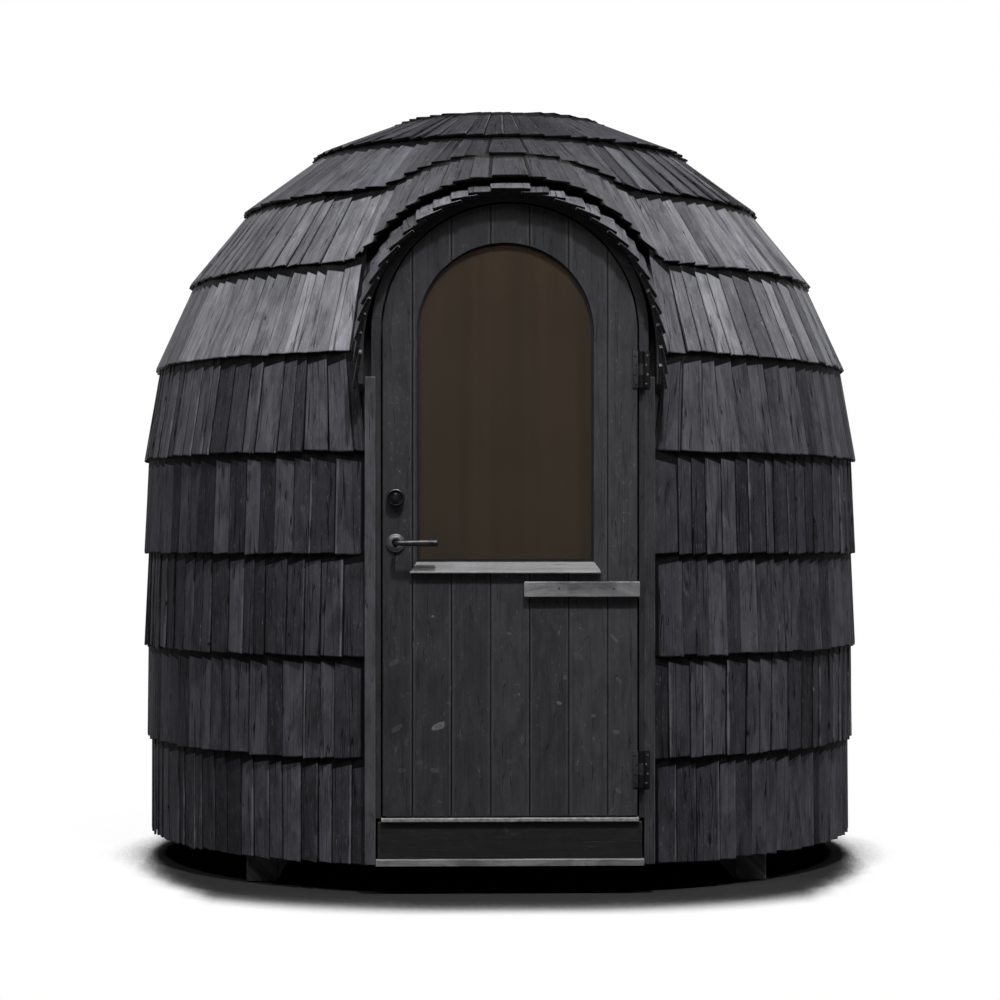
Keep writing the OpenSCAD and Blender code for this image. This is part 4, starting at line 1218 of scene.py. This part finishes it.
def buildStage():
    bpy.ops.mesh.primitive_plane_add(size=2 * stage["half"], location=(0.0, 0.0, 0.0))
    floor = bpy.context.object
    floor.name = "paleFloor"
    paint = Paint(bpy.data.materials.new("paleFloor"))
    camera, glossy, through = paint.rays()
    seen = paint.add("ShaderNodeMath", {"operation": "ADD", "use_clamp": True},
                     {0: camera + glossy, 1: through})
    shade = paint.mix(seen, (stage["bounceShade"],) * 3, (stage["seenShade"],) * 3)
    diffuse = paint.add("ShaderNodeBsdfDiffuse", {}, {"Color": shade})
    # the floor's shadow is painted into its white glow from ambient occlusion under the cabin, lightened
    # beside it
    openSky = paint.add("ShaderNodeAmbientOcclusion", {"samples": stage["samples"]},
                        {"Distance": stage["reach"]}, out=1)
    aside = paint.add("ShaderNodeMapRange", {}, {
        "Value": abs(paint.split(paint.spot())[0]), "From Min": stage["sideFrom"],
        "From Max": stage["sideTo"], "To Max": stage["sideLight"]})
    white = paint.add("ShaderNodeEmission", {}, {
        "Strength": 1.0, "Color": paint.ramp(openSky + aside, *stage["openStops"])})
    lit = paint.add("ShaderNodeMapRange", {}, {
        "Value": paint.length(paint.spot()), "From Min": stage["litFrom"], "From Max": stage["litTo"],
        "To Min": stage["litShare"], "To Max": 0.0})
    floor.data.materials.append(paint.show(
        paint.add("ShaderNodeMixShader", {}, {0: seen * (1.0 - lit), 1: diffuse, 2: white})))


def buildWorld():
    # white where it is seen, dim as a light
    world = bpy.data.worlds.new("studio")
    bpy.context.scene.world = world
    paint = Paint(world)
    camera, glossy, through = paint.rays()
    seen = paint.maths("MAXIMUM", paint.maths("MAXIMUM", camera, glossy), through)
    dim, bright = [paint.add("ShaderNodeBackground", {}, {"Color": (1.0, 1.0, 1.0), "Strength": strength})
                   for strength in (stage["ambient"], 1.0)]
    paint.show(paint.add("ShaderNodeMixShader", {}, {0: seen, 1: dim, 2: bright}), "ShaderNodeOutputWorld")


# Each lamp's place, size and power. The sheen lamp shows only in glossy rays, as a softbox over the
# front of the dome.
lamps = {"key": ((0.7, -4.8, 8.2), (0.5, 0.5), 740.0), "left": ((-3.8, -4.2, 6.8), (0.8, 0.8), 175.0),
         "right": ((4.8, -2.6, 6.6), (0.8, 0.8), 130.0), "backLeft": ((-2.2, 6.5, 4.4), (1.5, 1.5), 120.0),
         "backRight": ((2.2, 6.5, 4.4), (1.5, 1.5), 120.0), "sheen": ((0.0, -4.8, 6.6), (5.5, 2.6), 3200.0)}
lampAim = (0.0, 0.0, 1.1)
insideLamp = {"place": (0.0, 0.3, 1.9), "radius": 0.12, "power": 7.0}


def addLamp(name, kind, place, power):
    light = bpy.data.lights.new(name, kind)
    light.energy = power
    lamp = bpy.data.objects.new(name, light)
    lamp.location = place
    bpy.context.scene.collection.objects.link(lamp)
    return lamp


def buildLamps():
    for name, (place, size, power) in lamps.items():
        lamp = addLamp(name, "AREA", place, power)
        lamp.data.shape = "RECTANGLE"
        lamp.data.size, lamp.data.size_y = size
        lamp.rotation_euler = (Vector(lampAim) - lamp.location).to_track_quat("-Z", "Y").to_euler()
        lamp.visible_diffuse = name != "sheen"
        lamp.visible_glossy = not name.startswith("back")
    inside = addLamp("inside", "POINT", insideLamp["place"], insideLamp["power"])
    inside.data.shadow_soft_size = insideLamp["radius"]


camera = {"place": (-0.216, -7.997, 0.988), "turn": -1.55, "lens": 89.5, "sensor": 36.0, "rise": 0.041}


def buildCamera():
    eye = bpy.data.cameras.new("viewer")
    eye.lens = camera["lens"]
    eye.sensor_width = camera["sensor"]
    eye.shift_y = camera["rise"]
    viewer = bpy.data.objects.new("viewer", eye)
    viewer.location = camera["place"]
    viewer.rotation_euler = (math.pi / 2, 0.0, math.radians(camera["turn"]))
    bpy.context.scene.collection.objects.link(viewer)
    bpy.context.scene.camera = viewer


buildStage()
buildWorld()
buildLamps()
buildCamera()
bpy.context.scene.view_settings.view_transform = "Standard"
print("stage, lights and camera ready")
